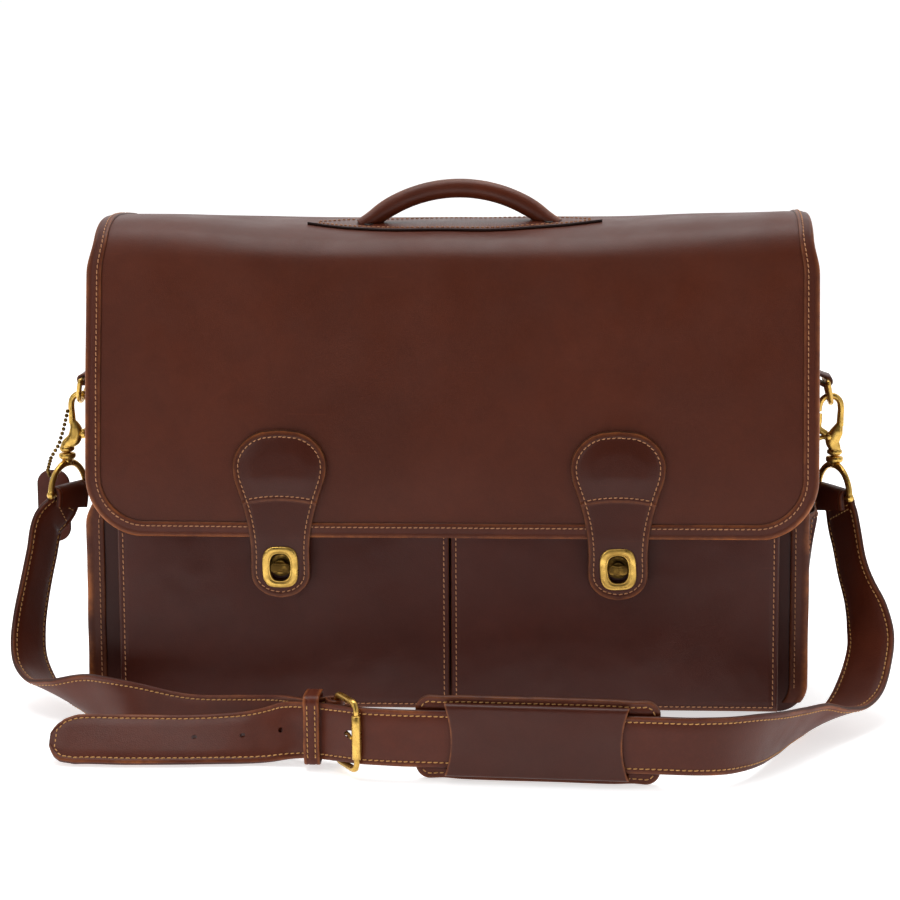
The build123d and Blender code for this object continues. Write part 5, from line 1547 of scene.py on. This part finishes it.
V, F, A = sweep(fr, prof, closed=True, attrs={"wear": lambda i, j, p: 0.5 if abs(p[0]) > 3.9 and p[1] > 0.3 else 0.0, "dark": lambda i, j, p: 0.7 if abs(p[0]) > 4.3 and p[1] < 0.3 else 0.0})
mk("strap_keeper_leather", V, F, M_STRAP, "strap", None, ("strap_keeper",), attrs=A, sharp=55)
zz = np.linspace(5, 39, 60)
for k, dx_ in enumerate((-2.2, 2.2)):
    stitches(f"strap_keeper_stitching_{k}", np.stack([0 * zz - 69.6 + dx_, 0 * zz - 188.75, zz], 1), (0, -1, 0), T_STRAP, "strap", None, pitch=3.1, length=2.3, r=0.34, lift=0.05)

# =============================================================== buckle
def bk(a, z, o=0.0):
    """Buckle frame's own place: along it from the heel, up, and across."""
    ac = np.array([bdir[1], -bdir[0], 0.0])
    return heel + bdir * a + np.array([0, 0, z]) + ac * o


rc = 5.0
loop = []
for ca_, cz_, a0 in ((B_LEN - rc, 19.0 - rc, 0), (rc, 19.0 - rc, 90), (rc, -19.0 + rc, 180), (B_LEN - rc, -19.0 + rc, 270)):
    for a in range(0, 91, 9):
        t = radians(a0 + a)
        loop.append((ca_ + rc * cos(t), cz_ + rc * sin(t)))
loop = np.array(loop)
loop = resample(np.vstack([loop, loop[:1]]), 0.9)[:-1]
tl = unit(np.roll(loop, -1, 0) - np.roll(loop, 1, 0))
ac = np.array([bdir[1], -bdir[0], 0.0])
fr, sz = [], []
for i in range(len(loop)):
    nrm2 = np.array([tl[i][1], -tl[i][0]])
    nrm = bdir * nrm2[0] + np.array([0, 0, nrm2[1]])
    fr.append((bk(*loop[i]), nrm, ac))
    sz.append(1.75 - 0.30 * (abs(loop[i][0]) < 1.5) - 0.30 * (abs(loop[i][0] - B_LEN) < 1.5))
V, F, A = sweep(fr, lambda i: [(sz[i] * np.sign(cos(t)) * abs(cos(t)) ** 0.8, sz[i] * 1.05 * np.sign(sin(t)) * abs(sin(t)) ** 0.8) for t in np.linspace(0, 2 * pi, 17)[:-1]], closed=True)
mk("buckle_frame_brass", V, F, BR, "buckle", None, ("buckle_frame",), sharp=0)
v1, f1 = lathe(bk(B_LEN, -12.4), (0, 0, 1), [(0, 1.75), (0.0, 2.3), (0.35, 2.62), (5, 2.68), (12.4, 2.7), (19.8, 2.68), (24.45, 2.62), (24.8, 2.3), (24.8, 1.75)], 32)
mk("buckle_roller_brass", v1, f1, BR, "roller", None, ("buckle_roller",), sharp=50)
eye_ = [bk(1.72 * 1.55 * cos(t), 0, 2.65 * sin(t)) for t in np.linspace(0, 2 * pi, 30)[:-1]]
fr = []
for i, t in enumerate(np.linspace(0, 2 * pi, 30)[:-1]):
    fr.append((bk(2.6 * cos(t), 0, 2.6 * sin(t)), bdir * cos(t) + ac * sin(t), np.array([0, 0, 1.0])))
ve, fe, _ = sweep(fr, [(0.62 * cos(a), 2.1 * sin(a)) for a in np.linspace(0, 2 * pi, 13)[:-1]], closed=True)
vp, fp_ = tube([bk(2.6, 0, 0.2), bk(7, 0, 0.5), bk(14, 0, 0.9), bk(20, 0, 1.6), bk(B_LEN - 3.2, 0, 2.4), bk(B_LEN - 0.2, 0, 3.1)], [1.45, 1.4, 1.3, 1.25, 1.15, 1.0, 0.6], 0.8)
V, F = join([(ve, fe), (vp, fp_)])
mk("buckle_prong_brass", V, F, BR, "prong", None, ("buckle_prong",), sharp=0)

# =============================================================== shoulder pad and its sleeve
ra = math.atan2(-212.35 + 202.0, 167.0)
PADC = np.array([56.0, -202.0 + (-10.35) * (56 + 25) / 167.0, 23.5])


def onrun(x, y, z):
    x, y, z = np.broadcast_arrays(np.asarray(x, float), np.asarray(y, float), np.asarray(z, float))
    return np.stack([PADC[0] + x * cos(ra) - y * sin(ra), PADC[1] + x * sin(ra) + y * cos(ra), PADC[2] + z], -1)


def pad_half(x):
    """Half height of the pad: rounded ends, a little drawn in beside the sleeve."""
    ax = np.abs(x)
    r_ = 8.5
    e = np.clip(ax - (67.0 - r_), 0, r_)
    return 23.7 - (r_ - np.sqrt(np.maximum(r_ * r_ - e * e, 0))) - 0.55 * np.exp(-((ax - 52) / 7.0) ** 2)


th = np.linspace(-pi / 2 + 0.05, pi / 2 - 0.05, 40)
xs = np.unique(np.concatenate([-67.0 + 8.5 * (1 - np.cos(np.linspace(0.12, pi / 2, 14))), np.linspace(-58.5, 58.5, 112), 67.0 - 8.5 * (1 - np.cos(np.linspace(0.12, pi / 2, 14)))]))
u = np.linspace(-1, 1, 45)
hh = pad_half(xs)
X = np.repeat(xs[:, None], len(u), 1)
Zp = u[None, :] * hh[:, None]
poly = np.array([(x, h_) for x, h_ in zip(xs, hh)] + [(x, -h_) for x, h_ in zip(xs[::-1], hh[::-1])])
D = outline_dist(X, Zp, poly[::2])
puff = 0.85 * smooth01(D / 9.0) - 0.40 * np.exp(-((D - 3.2) / 0.8) ** 2)
wav = 0.5 * np.sin(X / 9.0 + 0.6) * smooth01((np.abs(Zp) - 10) / 12.0)
curl = 1.1 * smooth01((np.abs(X) - 47) / 20.0) * (0.4 + 0.6 * np.sin(Zp / 12.0 + X / 40.0))
yf = 2.25 + 0.9 - np.where(np.abs(Zp) > 16.6, puff + 0.6, puff * 0.3) * 0.75 + wav * 0.4 - curl * 0.5
yf = np.maximum(yf, np.where(np.abs(Zp) < 17.0, 1.95, 0.6))
yb_ = 6.3 + puff * 0.8 + wav * 0.3 - curl * 0.2
V, F, A = slab(onrun(X, yf, Zp), onrun(X, yb_, Zp), 0.7, attrs={"wear": 0.45 * np.exp(-D / 0.8)}, edge_attr="dark", edge_val=0.55)
ob = mk("shoulder_pad_leather", V, F, M_STRAP, "shoulder_pad", None, ("shoulder_pad",), attrs=A, sharp=55)
cc = resample(np.vstack([poly, poly[:1]]), 0.8)
td = unit(np.roll(cc, -1, 0) - np.roll(cc, 1, 0))
ni = np.stack([td[:, 1], -td[:, 0]], 1)
if ((-cc) * ni).sum() < 0:
    ni = -ni
ci = cc + ni * 3.2
ci = ci[outline_dist(ci[:, 0], ci[:, 1], poly) > 3.0]


def grid_y(G, ci_):
    out_ = []
    for x, z in ci_:
        i = int(np.argmin(np.abs(xs - x)))
        j = int(np.argmin(np.abs(Zp[i] - z)))
        out_.append(G[i, j])
    return np.array(out_)


yy = grid_y(yf, ci)
stitches("pad_stitching_front", onrun(ci[:, 0], yy, ci[:, 1]), np.array([sin(ra), -cos(ra), 0]), T_STRAP, "shoulder_pad", None, pitch=3.3, length=2.5, r=0.37, lift=0.1)
yy = grid_y(yb_, ci)
stitches("pad_stitching_back", onrun(ci[:, 0], yy, ci[:, 1]), np.array([-sin(ra), cos(ra), 0]), T_STRAP, "shoulder_pad", None, pitch=3.3, length=2.5, r=0.37, lift=0.1)

# sleeve: one flat tube of leather, its ends cut in a shallow curve
def rr_loop(y0, y1, z0, z1, r_, n_=9):
    o = []
    for cy, cz, a0 in ((y1 - r_, z1 - r_, 0), (y0 + r_, z1 - r_, 90), (y0 + r_, z0 + r_, 180), (y1 - r_, z0 + r_, 270)):
        for a in np.linspace(0, 90, n_):
            o.append((cy + r_ * cos(radians(a0 + a)), cz + r_ * sin(radians(a0 + a))))
    return np.array(o)


lo = rr_loop(-3.9, 1.95, -20.2, 20.4, 2.0)
lo = resample(np.vstack([lo, lo[:1]]), 1.0)[:-1]
li = rr_loop(-2.35, 1.90, -17.6, 17.6, 1.2)
mo = len(lo)
li = resample(np.vstack([li, li[:1]]), n=mo + 1)[:-1]
nxs = 80
V, F, wv = [], [], []
for lay, L_ in ((0, lo), (1, li)):
    for i in range(nxs):
        f = -1 + 2 * i / (nxs - 1)
        for k in range(mo):
            y, z = L_[k]
            # concave ends: the middle of the front is shorter than its corners
            half = 50.2 - 3.6 * (1 - (z / 20.0) ** 2) * (1 if y < 1 else 0.2)
            x = f * half
            bow = 0.35 * noise.noise(Vector((x / 22.0, z / 14.0, 1.7 + lay))) if y < 0 else 0
            e_ = max(0, 1 - (1 - abs(f)) * half / 1.0)
            yy_ = y - (0.55 * (1 - (z / 20) ** 4) if y < -1 else 0) - bow + (0.4 * e_ if lay == 0 and y < 0 else 0)
            V.append(onrun(x, yy_, z))
            wv.append(0.55 * e_ if lay == 0 else 0)
g = nxs * mo
for i in range(nxs - 1):
    for k in range(mo):
        j = (k + 1) % mo
        F.append((i * mo + k, (i + 1) * mo + k, (i + 1) * mo + j, i * mo + j))
        F.append((g + i * mo + k, g + i * mo + j, g + (i + 1) * mo + j, g + (i + 1) * mo + k))
for base in (0, (nxs - 1) * mo):
    for k in range(mo):
        j = (k + 1) % mo
        F.append((base + k, base + j, g + base + j, g + base + k))
mk("pad_sleeve_leather", V, F, M_TAB, "shoulder_pad", None, ("pad_sleeve",), attrs={"wear": wv}, sharp=50)

# =============================================================== rings, chapes, hooks
BAR = {"left": -231.0, "right": 225.5}
for side, s in (("left", -1), ("right", 1)):
    bx = BAR[side]
    # D ring
    pts = [np.array([0, 14.5 * cos(t), -14.5 * sin(t)]) for t in np.linspace(0, pi, 40)]
    loop = np.array([np.array([0, y, 0.0]) for y in np.linspace(-13.5, 13.5, 24)] + pts)
    tilt = radians(12) * s
    Rm = lambda p: np.array([bx + p[0] * cos(tilt) - p[2] * sin(tilt), p[1], 192 + p[0] * sin(tilt) + p[2] * cos(tilt)])
    W_ = np.array([Rm(p) for p in loop])
    tl = unit(np.roll(W_, -1, 0) - np.roll(W_, 1, 0))
    A0 = np.array([cos(tilt), 0, sin(tilt)])
    fr = [(W_[i], A0, np.cross(tl[i], A0)) for i in range(len(W_))]
    V, F, _ = sweep(fr, ring(12, 1.62), closed=True)
    mk(f"d_ring_{side}_brass", V, F, BR, f"ring_{side}", None, (f"d_ring_{side}",), sharp=0)
    # chape: a folded strip round the bar, tapering into a stitched tab on the gusset
    gx = s * 211.6
    path = [(gx, 160.0), (gx + s * 0.2, 172), (gx + s * 0.6, 184), (gx + s * 2.4, 190.5), (bx - s * 6.0, 191.6), (bx - s * 1.5, 189.4)]
    path += [(bx + 2.75 * cos(radians(a)) * 1.0, 192 + 2.75 * sin(radians(a))) for a in ((-80, -20, 40, 100) if s > 0 else (260, 200, 140, 80))]
    path += [(bx - s * 5.0, 196.4), (gx + s * 3.2, 198.5), (gx + s * 1.0, 203)]
    pc = curve([(x, 0, z) for x, z in path], 0.8)
    n = len(pc)
    tl = unit(np.gradient(pc, axis=0))
    V, F = [], []
    wd = np.interp(np.linspace(0, 1, n), [0, 0.06, 0.3, 0.45, 0.7, 0.85, 0.97, 1], [7, 10.5, 10.5, 8.3, 8.3, 9, 10, 8])
    prf = lambda h_: [(-h_, -0.6), (-h_, 0.6), (-h_ + 0.4, 0.95), (-h_ + 2.0, 0.8), (h_ - 2.0, 0.8), (h_ - 0.4, 0.95), (h_, 0.6), (h_, -0.6), (h_ - 0.5, -0.95), (-h_ + 0.5, -0.95)]
    fr = []
    for i in range(n):
        nn = np.array([-tl[i][2], 0, tl[i][0]])
        fr.append((pc[i], np.array([0, 1.0, 0]), nn))
    V, F, A = sweep(fr, lambda i: prf(wd[i]), attrs={"wear": lambda i, j, p: 0.6 if abs(abs(p[0]) - wd[i]) < 0.45 and p[1] > 0.5 else 0.0, "dark": lambda i, j, p: 0.6 if abs(p[0]) >= wd[i] - 0.01 else 0.0})
    mk(f"ring_chape_{side}_leather", V, F, M_BIND, "bag", None, (f"ring_chape_{side}",), attrs=A, sharp=50)
    for k, yo in enumerate((-7.6, 7.6)):
        zz = np.linspace(163, 187, 30)
        xx = np.interp(zz, [160, 172, 184, 190], [gx + s * 1.0, gx + s * 1.2, gx + s * 1.6, gx + s * 3.0])
        stitches(f"ring_chape_stitching_{side}_{k}", np.stack([xx, 0 * zz + yo, zz], 1), (s, 0, 0), T_BODY, "bag", None, pitch=2.9, length=2.1, r=0.3)

    # snap hook: crown, shank, cheeks and swivel foot
    hx = bx + s * 14.5 * sin(radians(12))
    hz = 192 - 14.5 * cos(radians(12)) - 1.9
    sx = EYE_X[side]
    px_, pz_ = hx - s * 1.0, 157.0
    xo, xi = hx + s * 6.25, hx - s * 6.25
    cr = [(xi, 0, hz - 3.4), (xi - s * 0.1, 0, hz)]
    cr += [(hx - s * 6.25 * cos(radians(a)), 0, hz + 6.25 * sin(radians(a))) for a in (25, 55, 90, 125, 155)]
    cr += [(xo, 0, hz), (xo - s * 0.1, 0, 169), (xo - s * 0.3, 0, 163.5)]
    parts = [tube(cr, [1.15, 1.75, 1.85, 1.9, 1.95, 2.0, 2.1, 2.3], 0.7, up=(0, 1, 0), n=16)]
    # body web between shank and foot, swelling round the pivot
    web = curve([(xo - s * 0.4, 0, 164.5), ((xo * 0.7 + px_ * 0.3), 0, 160), ((px_ * 0.5 + sx * 0.5) + s * 0.6, 0, 154), (sx + s * 0.2, 0, 149.2), (sx, 0, 146.0)], 0.7)
    wfr = frames_of(web, (0, 1, 0))
    ww = np.interp(np.linspace(0, 1, len(web)), [0, 0.25, 0.55, 0.8, 1], [2.1, 3.9, 4.4, 3.6, 3.3])
    wt = np.interp(np.linspace(0, 1, len(web)), [0, 0.2, 0.55, 0.85, 1], [2.0, 3.3, 3.7, 3.3, 3.2])
    V_, F_, _ = sweep(wfr, lambda i: [(wt[i] * np.sign(cos(t)) * abs(cos(t)) ** 0.6, ww[i] * np.sign(sin(t)) * abs(sin(t)) ** 0.8) for t in np.linspace(0, 2 * pi, 21)[:-1]])
    parts.append((V_, F_))
    parts.append(lathe((px_, -3.9, pz_), (0, 1, 0), [(0, 1.2), (0.3, 1.7), (0.7, 1.8), (7.1, 1.8), (7.5, 1.7), (7.8, 1.2)], 20))
    parts.append(lathe((sx, 0, 149.6), (0, 0, -1), [(0, 2.6), (0.6, 4.0), (1.3, 4.6), (2.6, 4.7), (3.4, 4.2), (4.0, 3.0), (4.2, 2.2), (7.0, 1.8)], 28))
    parts.append(lathe((sx, 0, 141.0), (0, 0, -1), [(0, 1.8), (0.2, 3.2), (1.2, 3.5), (2.2, 3.2), (3.0, 2.2), (3.4, 0.8)], 24))
    V, F = join(parts)
    hk = mk(f"snap_hook_{side}_brass", V, F, BR, f"hook_{side}", None, (f"hook_{side}",), sharp=50)
    # gate with its thumb lever
    gate = curve([(px_ - s * 1.6, 0, pz_ + 1.6), (xi - s * 0.6, 0, 162.5), (xi - s * 0.2, 0, 167), (xi, 0, hz - 4.8)], 0.6)
    g1 = tube(gate, [2.2, 2.0, 1.75, 1.6, 1.5], 0.6, up=(0, 1, 0), smoothit=False)
    lev = curve([(px_ - s * 0.4, 0, pz_ + 0.4), (px_ - s * 3.6, 0, pz_ - 0.6), (px_ - s * 6.6, 0, pz_ - 1.5), (px_ - s * 9.2, 0, pz_ - 1.6)], 0.6)
    g2 = tube(lev, [2.5, 1.9, 1.4, 1.35, 1.5, 1.0], 0.6, up=(0, 1, 0), smoothit=False)
    g3 = lathe((px_, -1.6, pz_), (0, 1, 0), [(0, 2.4), (0.3, 2.9), (2.9, 2.9), (3.2, 2.4)], 22)
    V, F = join([g1, g2, g3])
    mk(f"snap_gate_{side}_brass", V, F, BR, f"gate_{side}", None, (f"hook_gate_{side}",), sharp=50)
    # strap eye: arched loop with a straight bar, hung from the swivel collar
    d = EYE_D[side]
    cz = EYE_Z[side]
    c = np.array([sx, 0.0, cz])
    arch = [c + d * 17.2 * cos(t) + np.array([0, 0, 1.0]) * 17.9 * sin(t) for t in np.linspace(0, pi, 50)]
    legs0 = [c + d * 17.2 + np.array([0, 0, -2.0])]
    legs1 = [c - d * 17.2 + np.array([0, 0, -2.0])]
    Pp = np.array(legs0 + arch + legs1)
    rad = [1.9 + 0.5 * exp_ for exp_ in np.exp(-((np.linspace(-1, 1, len(Pp))) / 0.25) ** 2)]
    parts = [tube(Pp, rad, 0.8, up=tuple(np.cross(d, (0, 0, 1))), n=14, smoothit=False)]
    parts.append(tube([c - d * 18.6, c - d * 9, c, c + d * 9, c + d * 18.6], [1.6, 1.6], 1.0, n=14))
    for q_ in (-1, 1):
        parts.append(lathe(c + d * q_ * 19.4, -d * q_, [(0, 0.9), (0.4, 2.0), (1.2, 2.35), (3.2, 2.35), (4.0, 2.0), (4.2, 1.5)], 18))
    parts.append(lathe((sx, 0, 145.0), (0, 0, -1), [(0, 2.4), (0.3, 4.4), (0.9, 5.2), (2.1, 5.35), (3.2, 5.1), (4.0, 4.2), (4.6, 2.6)], 30))
    V, F = join(parts)
    mk(f"strap_eye_{side}_brass", V, F, BR, "strap", None, (f"strap_eye_{side}",), sharp=50)

# hang tag: a plain rounded leather tag on the bead chain
zs = 85 + 46 * (1 - np.cos(np.linspace(0.08, pi - 0.08, 44))) / 2
r_ = 9.0
hw_ = np.array([10.5 - (r_ - sqrt(max(r_ * r_ - max(r_ - (z - 85), r_ - (131 - z), 0) ** 2, 0))) for z in zs])
u = np.linspace(-1, 1, 20)
X = -257.0 + u[None, :] * hw_[:, None]
Zt = np.repeat(zs[:, None], 20, 1)
Yt = 14.0 + 0.8 * ((X + 257) / 10.5) ** 2 * 0.5 + 0.3 * np.sin(Zt / 9.0) * 0.5
Pt = np.stack([X, Yt, Zt], -1)
Nt = normals(Pt, False)
if Nt[20, 10][1] > 0:
    Nt = -Nt
V, F, A = slab(Pt, Pt - Nt * 2.1, 0.5, edge_attr="dark", edge_val=0.8)
ob = mk("hang_tag_leather", V, F, M_STRAP, None, attrs=A, sharp=50)
cut(ob, *cyl_cut((-257, 15, 125), (0, 1, 0), 2.1, 6, 22))
done(ob, "hang_tag", None, ("hang_tag",))

#--STAGE--
# =============================================================== camera, light and floor
def aim(ob, target):
    d = Vector(target) - ob.location
    ob.rotation_euler = d.to_track_quat("-Z", "Y").to_euler()


cam_d = bpy.data.cameras.new("camera")
cam = bpy.data.objects.new("camera", cam_d)
scn.collection.objects.link(cam)
yaw, pitch, roll = radians(3.94), radians(10.08), radians(-0.44)
fw = Vector((-sin(yaw) * cos(pitch), cos(yaw) * cos(pitch), -sin(pitch)))
rt = Vector((cos(yaw), sin(yaw), 0))
up = rt.cross(fw)
rt2 = rt * cos(roll) + up * sin(roll)
up2 = up * cos(roll) - rt * sin(roll)
Mx = Matrix((rt2, up2, -fw)).transposed().to_4x4()
Mx.translation = Vector((0.09939, -1.50479, 0.41559))
cam.matrix_world = Mx
cam_d.sensor_width = 36.0
cam_d.lens = 2478.19 / 900 * 36
cam_d.clip_start = 0.01
cam_d.clip_end = 60
scn.camera = cam

fm = bpy.data.meshes.new("floor")
fm.from_pydata([(-9, -9, 0), (9, -9, 0), (9, 9, 0), (-9, 9, 0)], [], [(0, 1, 2, 3)])
fmat = Nodes("floor_white")
fmat.bsdf.inputs["Base Color"].default_value = (0.9, 0.9, 0.9, 1)
fn = fmat.noise(3, 2)
fmat.link(fmat.maprange(fn, 0.3, 0.7, 0.8, 0.9), fmat.bsdf.inputs["Roughness"])
fmat.bsdf.inputs["Specular IOR Level"].default_value = 0.0
fmat.bsdf.inputs["Emission Color"].default_value = (1, 1, 1, 1)
fmat.bsdf.inputs["Emission Strength"].default_value = 0.62
fm.materials.append(fmat.mat)
floor = bpy.data.objects.new("floor", fm)
floor.location.z = -0.0004
scn.collection.objects.link(floor)

w = bpy.data.worlds.new("world")
scn.world = w
w.use_nodes = True
nt = w.node_tree
nt.nodes.clear()
wo = nt.nodes.new("ShaderNodeOutputWorld")
bg = nt.nodes.new("ShaderNodeBackground")
tc = nt.nodes.new("ShaderNodeTexCoord")
sp_ = nt.nodes.new("ShaderNodeSeparateXYZ")
nt.links.new(tc.outputs["Generated"], sp_.inputs[0])
mr = nt.nodes.new("ShaderNodeMapRange")
mr.inputs[1].default_value = -0.25
mr.inputs[2].default_value = 0.35
mr.inputs[3].default_value = 0.10
mr.inputs[4].default_value = 1.02
nt.links.new(sp_.outputs["Y"], mr.inputs[0])
nt.links.new(mr.outputs[0], bg.inputs["Strength"])
bg.inputs["Color"].default_value = (1, 1, 1, 1)
nt.links.new(bg.outputs[0], wo.inputs[0])


def area(name, loc, target, size, power, colour=(1, 1, 1), sy=None):
    l = bpy.data.lights.new(name, "AREA")
    l.energy = power
    l.size = size
    if sy:
        l.shape = "RECTANGLE"
        l.size_y = sy
    l.color = colour
    o = bpy.data.objects.new(name, l)
    o.location = loc
    scn.collection.objects.link(o)
    aim(o, target)
    return o


area("softbox_top", (-0.15, 0.15, 1.75), (0, -0.1, 0.1), 1.6, 19, sy=1.1)
area("softbox_left", (-1.5, -1.5, 1.35), (0, 0, 0.15), 1.1, 9.5, sy=1.4)
area("softbox_right", (1.7, -1.2, 0.9), (0, 0, 0.15), 0.9, 4.5, sy=1.4)

# =============================================================== carried-over CAD nodes
SLOT_MAT = {"leather": M_BODY, "leather_dark": M_BODY, "leather_edge": M_EDGE, "brass": BR, "brass_aged": BR_AGED, "zip_fabric": ZIP}
METAL = {"zip_slider": COIL, "zip_pull": COIL, "zip_coil_front": COIL, "zip_coil_rear": COIL, "zip_end_stops": COIL}
for nm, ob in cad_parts.items():
    if ob.hide_render or ob.type != "MESH":
        continue
    old = [s.material.name if s.material else "" for s in ob.material_slots]
    for s in ob.material_slots:
        base = (s.material.name if s.material else "").split(".")[0]
        mat = METAL.get(nm)
        if mat is None:
            for k, v in SLOT_MAT.items():
                if base.endswith(k):
                    mat = v
        s.material = mat or M_BODY

bpy.context.view_layer.update()
